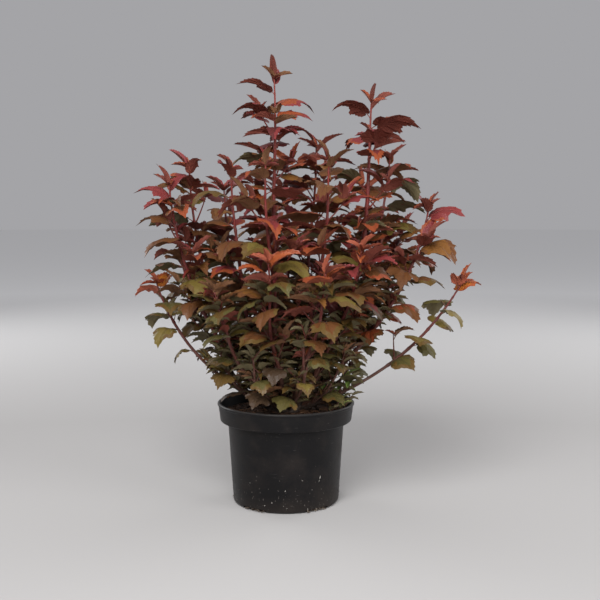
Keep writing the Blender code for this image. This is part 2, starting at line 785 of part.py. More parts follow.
class Crown:
    """The canes as they grow, the room that is taken, and the pieces of each mass."""

    def __init__(self, growths, obstacles):
        self.growths = growths
        self.room = Room()
        self.stems = []
        self.paths = []
        self.pieces = [[] for _ in growths]
        self.waiting = []
        self.tree, self.owners = space_tree(growths)
        for obj in obstacles:
            verts = [v.co.copy() for v in obj.data.vertices]
            self.room.add((verts, [tuple(p.vertices) for p in obj.data.polygons]))

    def in_space(self, number, point):
        return keeps_to_space(self.tree, self.owners, number, point, SPACE_TOLERANCE)

    def place_limbs(self):
        """Every stub, bough and stem comes before the first twig or leaf."""
        for number, growth in enumerate(self.growths):
            cane, curve, start = growth.cane, growth.curve, growth.start
            self.room.add(stub(growth))
            if cane.bare:
                body = limb(cane, curve, STUB_LENGTH + GAP, start - GAP, LIMB_SIDES, LIMB_STEP)
                self.room.add(body)
                bough = new_object(cane.name, mesh_from(cane.name, *body))
                finish(bough, BARK_COLOUR, BARK_ROUGHNESS)
            whole = length_of(curve)
            stem = limb(cane, curve, start, whole, STEM_SIDES, STEM_STEP, STEM_FATTEN)
            self.room.add(stem, number)
            self.stems.append(stem)
            self.paths.append(stretch(curve, start, whole, STEM_STEP))

    def place_twigs(self):
        for number, growth in enumerate(self.growths):
            self.wait_for(number, growth.stem_leaves, self.paths[number])
            for twig, twig_leaves in growth.twigs:
                root = seated(twig[0], self.paths[number])
                tip = twig[-1]
                outer = twig_solid(root.lerp(tip, ROOT_SHARE), tip, LEAF_CLEAR)
                if not self.in_space(number, tip) or not self.room.is_free(outer):
                    continue
                if self.room.is_free(twig_solid(root, tip, LEAF_CLEAR), number):
                    body = twig_solid(root, tip, 0.0)
                    self.room.add(body, number)
                    self.pieces[number].append(body)
                    self.wait_for(number, twig_leaves, [(root, None), (tip, None)])

    def wait_for(self, number, leaves, path):
        """Seat leaves on the straight runs of their limb and let them wait for their turn."""
        for leaf in leaves:
            seat = leaf._replace(base=seated(leaf.base, path))
            self.waiting.append((leaf.order, number, seat))

    def place_leaves(self):
        """Leaves nearest a tip come first, so that the outline is whole."""
        self.waiting.sort(key=lambda entry: entry[0])
        for _, number, leaf in self.waiting:
            _, waist, tip, _, _ = leaf_frame(leaf)
            if self.in_space(number, waist.lerp(tip, SPACE_POINT)):
                self.fit_leaf(number, leaf)

    def fit_leaf(self, number, leaf):
        """Place the leaf as it grows, or turned and lifted a little, or not at all."""
        for turn, lift in LEAF_TRIES:
            outward = Matrix.Rotation(turn, 3, "Z") @ leaf.outward
            trial = leaf._replace(outward=outward, rise=leaf.rise + lift, droop=leaf.droop + lift)
            if not self.room.is_free(leaf_solid(trial, LEAF_CLEAR, ROOT_SHARE)):
                continue
            if self.room.is_free(leaf_solid(trial, LEAF_CLEAR), number):
                body = leaf_solid(trial)
                self.room.add(body, number)
                self.pieces[number].append(body)
                return

    def make_masses(self):
        for growth, stem, pieces in zip(self.growths, self.stems, self.pieces):
            mass = fuse(growth.cane.name.replace("cane", "leaves"), stem, pieces)
            finish(mass, leaf_colour(growth.cane.height), LEAF_ROUGHNESS)


def make_shrub(pot, soil):
    canes = list(CANES) + skirt_canes()
    growths = [grow(cane, SEED + number) for number, cane in enumerate(canes)]
    crown = Crown(growths, (pot, soil))
    crown.place_limbs()
    crown.place_twigs()
    crown.place_leaves()
    crown.make_masses()
    make_stool(growths)


def main():
    clear_scene()
    pot = make_pot()
    soil = make_soil()
    make_shrub(pot, soil)


main()
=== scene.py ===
"""The looks of a potted ninebark shrub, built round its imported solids.

The crown grows here by the rule that made the solids: the same canes, twigs and leaves come first.
Then small leaves open round every tip, and short sprays of smaller leaves fill the room that is
left. Every leaf is a lobed, toothed blade on its own stalk. Leaves are joined by tint, and tints
are dealt out by spray.

Units are metres and +Z is up. The origin is the middle of the pot's flat underside. Azimuths are
degrees about +Z, from +X towards +Y, and the crown's front faces -Y.
"""
import math
import random
from functools import cache
from typing import NamedTuple

import bpy
import numpy as np
from mathutils import Matrix, Vector, noise
from mathutils.bvhtree import BVHTree
from mathutils.kdtree import KDTree


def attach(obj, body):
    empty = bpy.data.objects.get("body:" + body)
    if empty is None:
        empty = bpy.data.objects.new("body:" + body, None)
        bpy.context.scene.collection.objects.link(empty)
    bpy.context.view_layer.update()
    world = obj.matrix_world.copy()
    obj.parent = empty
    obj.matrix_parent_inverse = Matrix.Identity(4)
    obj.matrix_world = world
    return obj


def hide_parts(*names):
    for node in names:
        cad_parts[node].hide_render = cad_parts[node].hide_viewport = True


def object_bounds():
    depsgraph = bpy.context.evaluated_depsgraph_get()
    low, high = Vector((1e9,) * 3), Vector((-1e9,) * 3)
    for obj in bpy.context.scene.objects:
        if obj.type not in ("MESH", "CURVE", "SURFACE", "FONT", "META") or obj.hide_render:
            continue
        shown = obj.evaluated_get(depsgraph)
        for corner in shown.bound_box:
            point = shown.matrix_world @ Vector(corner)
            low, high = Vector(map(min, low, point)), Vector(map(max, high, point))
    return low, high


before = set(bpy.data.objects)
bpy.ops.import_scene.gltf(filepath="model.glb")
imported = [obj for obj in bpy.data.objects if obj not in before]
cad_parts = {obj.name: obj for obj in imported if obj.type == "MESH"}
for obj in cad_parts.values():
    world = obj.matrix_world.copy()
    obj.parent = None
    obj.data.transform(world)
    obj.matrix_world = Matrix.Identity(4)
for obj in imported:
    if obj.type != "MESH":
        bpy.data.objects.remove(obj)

CAD_BOX = [list(corner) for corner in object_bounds()]

# Pot, as in the solids
POT_HEIGHT = 0.1975
RIM_RADIUS = 0.135
BASE_RADIUS = 0.1045
WALL = 0.003
COLLAR_DEPTH = 0.036
COLLAR_TAPER = 0.0055
COLLAR_STEP = 0.0150
COLLAR_FOOT = POT_HEIGHT - COLLAR_DEPTH
POT_SHOULDER = COLLAR_FOOT + WALL
LIP_DEPTH = 0.006
LIP_OUT = 0.0018
FOOT_CHAMFER = 0.004
DRAIN_COUNT = 5
DRAIN_FIRST = 18
DRAIN_TURNS = [math.radians(DRAIN_FIRST + 360 * i / DRAIN_COUNT) for i in range(DRAIN_COUNT)]
DRAIN_WIDTH = 0.054
DRAIN_DEPTH = 0.009
DRAIN_HEIGHT = 0.006
DRAIN_SHOULDER = 0.5
DRAIN_CROWN = 0.85
POT_SIDES = 160

# Soil and stool, as in the solids
SOIL_DROP = 0.019
SOIL_MOUND = 0.003
SOIL_RADIUS = RIM_RADIUS - COLLAR_TAPER - WALL
STOOL_SEAT = 0.048
GAP = 0.0003
KNOB_RADIUS = 0.034
KNOB_HEIGHT = 0.026
STUB_LENGTH = 0.046
STUB_FATTEN = 1.04
FOOT_LIFT = 0.007
FOOT_INNER = 0.008
FOOT_SPREAD = 0.082
SOIL_TOP = POT_HEIGHT - SOIL_DROP

# Canes, as in the solids
CURVE_HANDLE = 0.38
CURVE_STEPS = 40
DENSE_STEPS = 160
CANE_SWAY = 0.006
SWAY_TURN = 7
TIP_RADIUS = 0.0013
TAPER_POWER = 0.8
LIMB_SIDES = 5
LIMB_STEP = 0.045
STEM_SIDES = 3
STEM_STEP = 0.085
STEM_FATTEN = 1.25

# How leaves are set on a shoot, as in the solids. A value ending in TIP holds at the shoot's tip,
# and its partner from LEAF_GROWN_AT back. A pair ending in VARY bounds a random factor or turn.
LEAF_TURN = math.radians(144)
LEAF_FIRST = 0.001
LEAF_GROWN_AT = 0.045
LEAF_SPACING_TIP = 0.012
LEAF_SPACING = 0.027
SPACING_VARY = (0.9, 1.1)
LEAF_LENGTH_TIP = 0.048
LEAF_LENGTH = 0.098
LENGTH_VARY = (0.84, 1.08)
LEAF_RISE_TIP = math.radians(66)
LEAF_RISE = math.radians(24)
RISE_VARY = (-0.15, 0.20)
LEAF_DROOP_TIP = math.radians(30)
LEAF_DROOP = math.radians(-34)
DROOP_VARY = (-0.26, 0.26)
ROLL_VARY = (-0.45, 0.45)
LEAF_LOWEST = 0.006
LEAF_BARE = 0.012
ALONG_PULL = 0.5
OUTWARD_PULL = 0.45
AXIS_RADIUS = 0.02
LEAF_WAIST = 0.55
LEAF_KEEL = 0.32
LEAF_HALF_WIDTH = 0.29
LEAF_THICKNESS = 0.030
LEAF_SAG = 0.40
LEAF_CLEAR = 0.0010

# Side twigs, as in the solids
TWIG_FIRST = 0.110
TWIG_SPACING = 0.082
TWIG_SPACING_VARY = (0.85, 1.15)
TWIG_LAST = 0.02
TWIG_LENGTH = 0.075
TWIG_LENGTH_VARY = (0.75, 1.2)
TWIG_RISE = math.radians(42)
TWIG_UPTURN = 0.5
TWIG_TURN = 1.5
TWIG_BARE = 0.024
TWIG_LEAF_TURN = 1.0
TWIG_STEPS = 8
TWIG_RADIUS = 0.0013
TWIG_TAPER = 1.4
TWIG_ORDER = (0.02, 0.5)
SEAT_LAST = 0.995
ROOT_SHARE = 0.24
# turns and lifts that a leaf tries in its search for room
LEAF_TRIES = ((0, 0), (0.35, 0.1), (-0.35, 0.1), (0.7, 0.25), (-0.7, 0.25), (1.1, 0), (-1.1, 0))
SPACE_TOLERANCE = 0.022
SPACE_POINT = 0.3
SEED = 29

# The finer growth: sprays in the leaf axils, on the bare foot of each cane and in the low crown
SPRAY_SEED = 500
SPRAY_TOLERANCE = 0.050
SPRAY_HEIGHTS = (0.36, 0.66)
SPRAY_SHARES = (0.95, 0.30)
SPRAY_YOUNGEST = 0.045
SPRAY_LENGTH = (0.014, 0.040)
SPRAY_RISE = (0.6, 1.1)
SPRAY_LEAVES = (3, 5)
SPRAY_LEAF_LENGTH = ((0.040, 0.052), (0.068, 0.084))
SPRAY_LEAF_RISE = (0.25, 0.85)
SPRAY_LEAF_DROOP = (-0.75, 0.15)
SPRAY_SWERVE = 0.7
SPRAY_SPAN = 0.6
SPRAY_FORWARD = 0.6
SPRAY_AGE = (0.2, 1.2)
# the two low arching canes: no sprays in their axils, and amber leaves at their tips
OPEN_CANES = ("cane_05", "cane_11")
FOOT_FIRST = 0.020
FOOT_REACH = 0.140
FOOT_SPACING = 0.011
FOOT_SWERVE = 1.3
FOOT_SCALES = (1.0, 0.72, 0.60)
FILL_BELOW = 0.42
FILL_SHARE = 0.5
FILL_TURNS = (-1.5, 1.5)
FILL_SCALE = 0.62
# where green sprouts stand on the soil, by radius and azimuth
SPROUTS = ((0.098, -38), (0.104, -22), (0.106, -6), (0.100, 12))
SPROUT_SCALE = 0.75
SPRAY_PART = 0.07
SPEAR = "spear"
SPEAR_COUNT = 4
SPEAR_LENGTHS = (0.036, 0.027)
SPEAR_VARY = (0.65, 1.15)
SPEAR_RISE = (0.25, 1.10)
SPEAR_CURL = 0.65

# A blade's outline: its reach at angles from the midrib, in degrees about the stalk's joint
OUTLINE_POINTS = {
    "young": ((0, 1), (4, .91), (10, .71), (18, .52), (27, .40), (38, .33), (52, .24), (75, .15),
              (110, .09), (145, .05), (180, .02)),
    "upper": ((0, 1), (4, .93), (9, .81), (15, .68), (21, .58), (27, .53), (33, .54), (40, .58),
              (46, .56), (54, .47), (64, .40), (74, .36), (90, .28), (115, .17), (145, .09),
              (180, .03)),
    "shade": ((0, 1), (6, .94), (13, .85), (20, .76), (27, .71), (34, .73), (42, .77), (50, .73),
              (58, .65), (66, .60), (75, .60), (88, .49), (105, .35), (130, .20), (180, .06)),
}
DEGREES = np.radians(np.arange(181))
OUTLINE = {name: np.interp(np.arange(181), *zip(*points))
           for name, points in OUTLINE_POINTS.items()}
YOUNG_LENGTH = 0.050
GROWN_LENGTH = 0.082
SHADE_HEIGHTS = (0.38, 0.60)
SMALL_LEAF = 0.050
# points along half of an outline, rings, and veins: for small leaves, others, and high others
BLADE_GRADES = (
    (10, (0.50, 1.0), (1.0, -1.0)),
    (18, (0.36, 0.74, 1.0), (1.0, -1.0)),
    (26, (0.36, 0.74, 1.0), (0.6, 0.0, -0.6, 0.0)),
)
FINE_ABOVE = 0.58
BLADE_HEIGHTS = (0.22, 0.48)
BLADE_SHARES = (0.70, 1.07)
BLADE_THICKNESS = 0.0004
EDGE_POWER = 6
MIDRIB_STEPS = 16
TOOTH = 0.07
TOOTH_VARY = (0.7, 1.3)
HALF_VARY = (0.90, 1.06)
FOLD = 0.95
FOLD_VARY = (0.6, 1.2)
VEIN = 0.012
VEIN_WAVE = 0.75
# a pair holds in the light and in the shade; a GROWN pair, in a young leaf and in a grown one
SAG = (0.80, 0.55)
SAG_GROWN = (0.35, 1.0)
SAG_VARY = (0.6, 1.25)
SAG_TUCK = 0.30
DROP = 0.40
DROP_EASED = 0.6
EDGE_DROP_VARY = (0.2, 1.3)
JOINT_GROWN = (0.10, 0.30)
JOINT_SPREAD = (0.4, 1.0)
TIP_STRETCH = 0.22
TIP_EASED = 0.5
HANG = (0.10, 0.50)
HANG_VARY = (0.3, 1.2)
DROP_FROM = 0.5
WAVE = 0.05
WAVE_VARY = (0.3, 1.3)
WAVE_COUNTS = (6, 8, 10)
PLEAT = 0.07
PLEAT_ANGLE = math.radians(44)
FAN_ANGLE = math.radians(88)
# where a margin turns to another tint: waves round the blade, raised by a random step
FLUSH_WAVES = (1, 2, 3)
FLUSH_RAISE = (-0.2, 1.6)
FLUSH_DEEP = 2.2
STALK_LIFT = 0.45
STALK_STEPS = (2, 4)
STALK_SIDES = (3, 4)
STALK_RADIUS = 0.0009
STALK_TAPER = (1.35, 0.85)
STALK_GIRTH = (0.45, 1.0)
STALK_FULL_LENGTH = 0.09
RIB_REACH = 0.8
RIB_STEPS = (2, 4)
RIB_TAPER = (0.7, 0.12)
RIB_SINK = 0.0003
STALK_RED_ABOVE = 0.50
ODD_LEAVES = 0.22
TIP_LOWEST = 0.44
LEAF_SPECULAR = 0.25
LEAF_ROUGH_SPREAD = (-0.10, 0.12)
LEAF_ROUGHNESS = 0.46
UNDERSIDE_ROUGHNESS = 0.68
NOISE_SPAN = (0.3, 0.7)
CRUMB_ROUGHEST = 0.95

# Twigs, canes and stool in detail
TWIG_SEAT = 0.006
TWIG_BOW = 0.08
TWIG_SHORT = 0.045
TWIG_SEGMENTS = (4, 6)
TWIG_SIDES = (5, 6)
TWIG_END = 0.7
TWIG_COLLAR = 1.5
LINE_STEP = 0.004
LEAF_SEAT = 0.005
BARK_STEP = 0.0045
BARK_SIDES = 9
SKIRT_SIDES = 6
BARK_AGED = 0.28
# relief of the bark: how strong on young wood, how much more on old, and how fine round the limb,
# along it and from limb to limb
BARK_RELIEF = ((0.10, 0.22, 2, 60, 7), (0.08, 0.30, 5, 12, 3))
STEM_FULLNESS = 0.28
NODE_SWELL = 0.28
NODE_WIDTH = 0.0028
NODE_DIGITS = 4
CURVE_END = 1e-6
KNOB_PROFILE = ((0, 1.0), (0.2, 1.03), (0.35, 1.04), (0.55, 0.94), (0.7, 0.82), (0.85, 0.62),
                (0.93, 0.45))
KNOB_COLUMNS = 28
# a direction that no tube starts in
OFF_AXIS = (0.31, 0.57, 0.76)
STUB_POINTS = 8
STUB_SIDES = 8
STUB_FLARE = 0.55
FLARE_LENGTH = 0.012
STOOL_VOXEL = 0.0014
# the stool's relief, as height and fineness, from a little above the soil
STOOL_RELIEF = ((0.0016, 70), (0.0008, 260))
STOOL_SMOOTH_FOOT = 0.002
SOFTEN_FACTOR = 0.5
SOFTEN_TIMES = 3

# Bark colours by height in metres, linear, and how close its streaks lie along each axis
BARK_STREAKS = (700, 700, 60)
STOOL_STREAKS = (300, 300, 120)
STALK_STREAKS = (500, 500, 500)
BARK_STOPS = (
    (0.18, (0.090, 0.052, 0.038)), (0.26, (0.110, 0.042, 0.028)), (0.36, (0.130, 0.022, 0.018)),
    (0.55, (0.180, 0.018, 0.014)), (0.80, (0.230, 0.026, 0.017)),
)
TWIG_STOPS = (
    (0.20, (0.110, 0.045, 0.028)), (0.35, (0.130, 0.026, 0.016)), (0.60, (0.200, 0.025, 0.016)),
)
STOOL_STOPS = (
    (0.18, (0.050, 0.034, 0.026)), (0.21, (0.090, 0.060, 0.045)), (0.24, (0.080, 0.045, 0.034)),
)
STALK_STOPS = {
    "stalk_red": (
        (0.20, (0.150, 0.040, 0.030)), (0.50, (0.210, 0.045, 0.032)),
        (0.80, (0.260, 0.060, 0.040)),
    ),
    "stalk_green": (
        (0.20, (0.110, 0.085, 0.040)), (0.35, (0.130, 0.070, 0.036)),
        (0.50, (0.150, 0.055, 0.032)),
    ),
}
BARK_SPOTS = (0.13, 0.075, 0.060)

# Pot and soil in detail. Colours are linear, and a plain pair bounds a random draw.
POT_FILLET = 0.0007
CORNER_ROOM = 2.2
CORNER_STEPS = 3
ARCH_STEPS = 4
SHARP_ANGLE = math.radians(40)
POT_COLOUR = (0.0060, 0.0056, 0.0060)
POT_DUST = (0.026, 0.020, 0.017)
# pale scuffs, flecks and scratches, and the painted highlight along the rim's top edge
POT_SCUFF_AND_HIGHLIGHT = (0.150, 0.140, 0.130)
SOIL_ROWS = 34
SOIL_INNERMOST = 0.02
SOIL_GRAIN = 60
SOIL_SIDES = 110
# the soil's clods, as height and fineness, and the width over which they fade out at the wall
CLODS = ((0.0018, 45), (0.0012, 130))
CLOD_FADE = 0.004
SOIL_DARK = (0.016, 0.009, 0.006)
SOIL_LIGHT = (0.042, 0.025, 0.018)
CLING_SEED = 31
# what clings to the wall: name, how many, their sizes, and the height they thin out over
CLING = (
    ("wall_dirt", 260, (0.0006, 0.0017), 0.040),
    ("wall_grit", 16, (0.0006, 0.0012), 0.045),
)
CLING_TALL = (0.5, 1.6)
CLING_HIGHEST = POT_HEIGHT * 0.7
CLING_FLATNESS = 0.35
MARK_LEAN = 0.25
# larger marks on the wall: azimuth in degrees, height, half width and half height
WALL_MARKS = (
    (-52.6, 0.067, 0.0011, 0.0044), (-53.6, 0.060, 0.0008, 0.0022), (-90, 0.046, 0.0013, 0.0012),
    (-104, 0.022, 0.0014, 0.0013), (-92, 0.016, 0.0011, 0.0010), (-112, 0.015, 0.0015, 0.0012),
    (-66, 0.008, 0.0014, 0.0011), (35, 0.031, 0.0013, 0.0012), (118, 0.052, 0.0012, 0.0026),
)
# crumbs and fine roots in the drain cuts; a root's knee is pushed out and up
SLOT_CRUMBS = 26
CRUMB_SIZES = (0.0009, 0.0024)
CRUMB_TALL = (0.6, 1.0)
CRUMB_DEPTH = 0.8
CRUMB_SPREAD = 0.42
CRUMB_TOP = 0.3
CRUMB_TILT = 0.6
CRUMB_LOWEST = 0.00012
SLOT_ROOTS = 7
ROOT_RADIUS = 0.0006
ROOT_DEPTH = 0.7
ROOT_SPREAD = 0.4
ROOT_REACH = (0.004, 0.008)
ROOT_STRAY = 0.012
ROOT_LOW = (1.2, 3)
ROOT_KNEE = (0.003, 0.001)
ROOT_STEPS = 6
ROOT_SIDES = 5
ROOT_TAPER = 0.5
LITTER_SEED = 77
LITTER_EDGE = 0.003
LITTER_INNER = 0.030
LITTER_LIFT = 0.12
LUMP_TILT = 0.5
CHIP_TILT = 0.45
# a lump's two rings, as height and girth, and its poles, in shares of its size
LUMP_RINGS = ((-0.5, 0.7), (0.35, 0.8))
LUMP_POLES = (-0.95, 0.9)
LUMP_SIDES = 5
LUMP_REACH = (0.75, 1.2)
LUMP_NARROW = (0.6, 1)
LUMP_TALL = (0.8, 1.2)
FLATNESS_VARY = (0.7, 1.2)
# a chip's width, thickness, cup and ragged ends, in shares of its length
CHIP_WIDTH = (0.22, 0.5)
CHIP_THICK = (0.06, 0.12)
CHIP_CUP = (0.02, 0.12)
CHIP_RAGGED = 0.03
CHIP_POINTS = 5
CHIP_EDGE = (0.7, 1.1)
# name, how many, their sizes, and a lump's height as a share of its width, or 0 for a flat chip
LITTER = (
    ("soil_crumbs", 900, (0.0010, 0.0032), 0.8),
    ("bark_chips", 320, (0.006, 0.019), 0),
    ("dead_leaf_bits", 160, (0.008, 0.022), 0),
    ("pale_grains", 46, (0.0009, 0.0020), 0.9),
)
LITTER_SHADES = {
    "soil_crumbs": ((0.018, 0.010, 0.007), (0.070, 0.038, 0.024), 90),
    "bark_chips": ((0.030, 0.016, 0.011), (0.095, 0.054, 0.036), 120),
    "dead_leaf_bits": ((0.060, 0.028, 0.016), (0.150, 0.078, 0.042), 80),
    "pale_grains": ((0.350, 0.330, 0.290), (0.600, 0.580, 0.520), 300),
    "wall_dirt": ((0.026, 0.023, 0.021), (0.085, 0.075, 0.066), 200),
    "wall_grit": ((0.280, 0.260, 0.230), (0.500, 0.480, 0.440), 300),
    "slot_crumbs": ((0.040, 0.026, 0.018), (0.260, 0.220, 0.180), 120),
    "slot_roots": ((0.080, 0.055, 0.038), (0.200, 0.150, 0.110), 200),
}

# Stage and camera
FLOOR_RADIUS = 30.0
FLOOR_SIDES = 96
FLOOR_DEPTH = 0.01
FLOOR_GAP = 0.0005
FLOOR_COLOUR = (0.43, 0.42, 0.415)
FLOOR_FAR_PAINTED_LIGHT = (0.95, 0.95, 0.95)
# the floor's colour pales from the first distance to the second, away from a place in front of the
# plant:
# painted light on the far floor, which the lamps hardly reach
FLOOR_PAINTED_LIGHT_SPAN = (3.75, 8.0)
FLOOR_MIDDLE = (0.0, -3.0, 0.0)
WORLD_COLOUR = (0.60, 0.598, 0.622)
WORLD_STRENGTH = 0.62
# name, place, what it points at, diameter in metres, power in watts
LIGHTS = (
    ("key", (-0.6, -2.3, 2.3), (0, 0, 0.40), 1.8, 98),
    ("fill", (2.2, -1.4, 1.2), (0, 0, 0.40), 1.6, 24),
    ("front", (2.0, -5.4, 1.90), (0, 0, 0.34), 2.6, 108),
    ("back_left", (-2.3, 2.1, 1.9), (0, 0, 0.45), 2.0, 33),
    ("back_right", (2.4, 2.0, 1.9), (0, 0, 0.45), 2.0, 27),
)
CAMERA_LENS = 58.46
CAMERA_SENSOR = 36
CAMERA_PLACE = (0.0278, -1.9025, 0.5748)
CAMERA_TILT = 5.31


class Cane(NamedTuple):
    """One cane: where its tip is, how it leaves the stool and arrives, and how thick it starts."""
    name: str
    azimuth: float
    reach: float
    height: float
    start_rise: float
    end_rise: float
    girth: float
    bare: float
    turn: float


# azimuth of the tip, reach of the tip from the pot's axis, height of the tip, rise at the stool and
# at the tip in degrees, radius at the foot, bare share of the length, first leaf's azimuth
CANE_ROWS = (
    (138, 0.030, 0.826, 84, 88, 0.0050, 0.30, 288),
    (-14, 0.167, 0.773, 52, 88, 0.0054, 0.28, 252),
    (20, 0.222, 0.674, 55, 84, 0.0042, 0.26, 340),
    (-3, 0.277, 0.578, 46, 80, 0.0040, 0.26, 72),
    (-12, 0.340, 0.436, 22, 60, 0.0036, 0.40, 72),
    (30, 0.280, 0.528, 46, 72, 0.0036, 0.26, 30),
    (63, 0.134, 0.700, 68, 88, 0.0042, 0.28, 200),
    (-51, 0.128, 0.662, 68, 87, 0.0042, 0.28, 170),
    (171, 0.193, 0.654, 55, 88, 0.0042, 0.26, 180),
    (-165, 0.226, 0.619, 47, 84, 0.0042, 0.26, 252),
    (-174, 0.250, 0.432, 26, 72, 0.0036, 0.42, 252),
    (-138, 0.134, 0.644, 62, 88, 0.0040, 0.28, 120),
    (138, 0.173, 0.612, 58, 85, 0.0040, 0.26, 210),
    (-103, 0.150, 0.652, 68, 88, 0.0042, 0.28, 300),
    (-98, 0.200, 0.480, 48, 72, 0.0036, 0.24, 250),
    (-70, 0.212, 0.462, 46, 70, 0.0036, 0.24, 290),
    (-46, 0.200, 0.500, 50, 76, 0.0036, 0.24, 320),
    (90, 0.206, 0.615, 56, 82, 0.0040, 0.26, 70),
    (52, 0.245, 0.505, 44, 74, 0.0036, 0.26, 40),
    (156, 0.232, 0.455, 36, 76, 0.0036, 0.28, 160),
    (70, 0.262, 0.405, 26, 64, 0.0034, 0.26, 80),
    (116, 0.262, 0.425, 32, 68, 0.0034, 0.26, 110),
    (-132, 0.190, 0.425, 40, 76, 0.0036, 0.28, 220),
)
CANES = [Cane(f"cane_{i:02}", *row) for i, row in enumerate(CANE_ROWS, 1)]
SKIRT_COUNT = 9
SKIRT_FIRST = -116
SKIRT_REACH = (0.136, 0.156)
SKIRT_HEIGHT = (0.300, 0.345)
SKIRT_START_RISE = 12
SKIRT_END_RISE = 76
SKIRT_GIRTH = 0.0030


# Leaf tints. A leaf's upper face takes a tint, and its underside a paler one.
class Tint(NamedTuple):
    """A leaf's linear colour, its underside, its margin high and low in the crown, and its slot."""
    colour: tuple
    underside: str
    margin: str
    low_margin: str
    slot: str


TINTS = {
    "plum": Tint((0.094, 0.022, 0.021), "rose", "wine", "dusk", "foliage_burgundy"),
    "wine": Tint((0.173, 0.028, 0.0275), "rose", "russet", "umber", "foliage_burgundy"),
    "russet": Tint((0.228, 0.051, 0.019), "rose", "wine", "umber", "foliage_burgundy"),
    "rust": Tint((0.290, 0.068, 0.020), "blush", "russet", "russet", "foliage_burgundy"),
    "coral": Tint((0.560, 0.098, 0.034), "blush", "rust", "rust", "foliage_burgundy"),
    "amber": Tint((0.440, 0.140, 0.024), "blush", "rust", "rust", "foliage_bronze"),
    "umber": Tint((0.114, 0.044, 0.015), "tan", "russet", "sepia", "foliage_bronze"),
    "bronze": Tint((0.168, 0.071, 0.018), "tan", "umber", "umber", "foliage_bronze"),
    "sepia": Tint((0.098, 0.056, 0.015), "sage", "umber", "moss", "foliage_bronze"),
    "olive": Tint((0.132, 0.095, 0.022), "sage", "sepia", "sepia", "foliage_olive"),
    "moss": Tint((0.080, 0.066, 0.020), "sage", "sepia", "sepia", "foliage_olive"),
    # the darkest tint, for low leaves at the rim and foot and the low margins of plum leaves:
    # partly older, darker leaves, partly painted shade under the crown
    "dusk": Tint((0.050, 0.029, 0.016), "tan", "dusk", "dusk", "foliage_burgundy"),
    "fern": Tint((0.130, 0.200, 0.045), "sage", "moss", "moss", "foliage_olive"),
    "lime": Tint((0.240, 0.270, 0.070), "sage", "fern", "fern", "foliage_olive"),
}
UNDERSIDES = {
    "rose": ((0.166, 0.043, 0.029), "foliage_burgundy"),
    "tan": ((0.165, 0.076, 0.036), "foliage_bronze"),
    "sage": ((0.135, 0.110, 0.056), "foliage_olive"),
    "blush": ((0.340, 0.090, 0.050), "foliage_burgundy"),
}
RED_UNDERSIDES = ("rose", "blush")
FLUSH_ABOVE = 0.44
FLUSH_SHARE = 0.75

# Which tints a zone of the crown deals out, as (tint, share)
ZONES = {
    "tips": (("russet", 4), ("wine", 7), ("rust", 1), ("plum", 2), ("umber", 2)),
    "crest": (("wine", 7), ("plum", 3), ("umber", 4), ("russet", 3), ("bronze", 2), ("sepia", 2)),
    "upper": (("wine", 1), ("plum", 1), ("umber", 6), ("russet", 3), ("bronze", 8), ("sepia", 4),
              ("olive", 2)),
    "middle": (("umber", 6), ("bronze", 5), ("sepia", 4), ("olive", 5), ("wine", 1)),
    "low": (("umber", 6), ("sepia", 3), ("moss", 3), ("olive", 4), ("russet", 3), ("plum", 1)),
    "bough": (("olive", 5), ("moss", 2), ("bronze", 1)),
    # the foot and the rim deal out the darkest tint, which is partly painted shade
    "foot": (("moss", 5), ("sepia", 5), ("umber", 1), ("olive", 2), ("dusk", 2)),
    "rim": (("dusk", 4), ("plum", 1), ("moss", 3), ("umber", 1), ("sepia", 2)),
    "sprout": (("fern", 4), ("lime", 1), ("moss", 3)),
    "coral": (("coral", 5), ("rust", 5), ("russet", 2)),
    "amber": (("rust", 4), ("amber", 3), ("russet", 2)),
}
# the height up to which each zone reaches
ZONE_HEIGHTS = (
    ("rim", 0.22), ("foot", 0.30), ("low", 0.40), ("middle", 0.54), ("upper", 0.66),
    ("crest", 2),
)
# leaves in this box are green, like the sprouts that stand there
SPROUT_BOX = ((0.070, -0.13, 0.18), (0.16, 0.01, 0.252))
CORAL_CANES = ("cane_15", "cane_16", "cane_17")
CORAL_AGE = 0.050
TIP_AGE = 0.040


def skirt_canes():
    """The short shoots over the rim, evenly turned, alternately lower and higher."""
    shoots = []
    for i in range(SKIRT_COUNT):
        azimuth = SKIRT_FIRST + 360 * i / SKIRT_COUNT
        shoots.append(Cane(
            f"skirt_{i + 1}", azimuth, SKIRT_REACH[i % 2], SKIRT_HEIGHT[i % 2],
            SKIRT_START_RISE, SKIRT_END_RISE, SKIRT_GIRTH, 0.0, azimuth))
    return shoots


# The growth rule, as in the solids

def heading(azimuth, rise):
    return Vector((math.cos(azimuth) * math.cos(rise), math.sin(azimuth) * math.cos(rise),
                   math.sin(rise)))


def cane_curve(cane, seed):
    """Points along a cane at even steps of its length: a cubic arc with a slight sway."""
    azimuth = math.radians(cane.azimuth)
    outward = heading(azimuth, 0)
    foot = outward * (FOOT_INNER + FOOT_SPREAD * cane.reach)
    foot.z = SOIL_TOP + FOOT_LIFT
    tip = outward * cane.reach + Vector((0, 0, cane.height))
    handle = (tip - foot).length * CURVE_HANDLE
    leave = foot + heading(azimuth, math.radians(cane.start_rise)) * handle
    arrive = tip - heading(azimuth, math.radians(cane.end_rise)) * handle
    across = Vector((-outward.y, outward.x, 0))
    phase = random.Random(seed).uniform(0, 2 * math.pi)
    dense = []
    for k in range(DENSE_STEPS + 1):
        t = k / DENSE_STEPS
        s = 1 - t
        point = foot * s**3 + leave * 3 * s * s * t + arrive * 3 * s * t * t + tip * t**3
        sway = CANE_SWAY * math.sin(phase + SWAY_TURN * t) * 4 * t * s
        dense.append(point + across * sway)
    return even_points(dense, CURVE_STEPS)


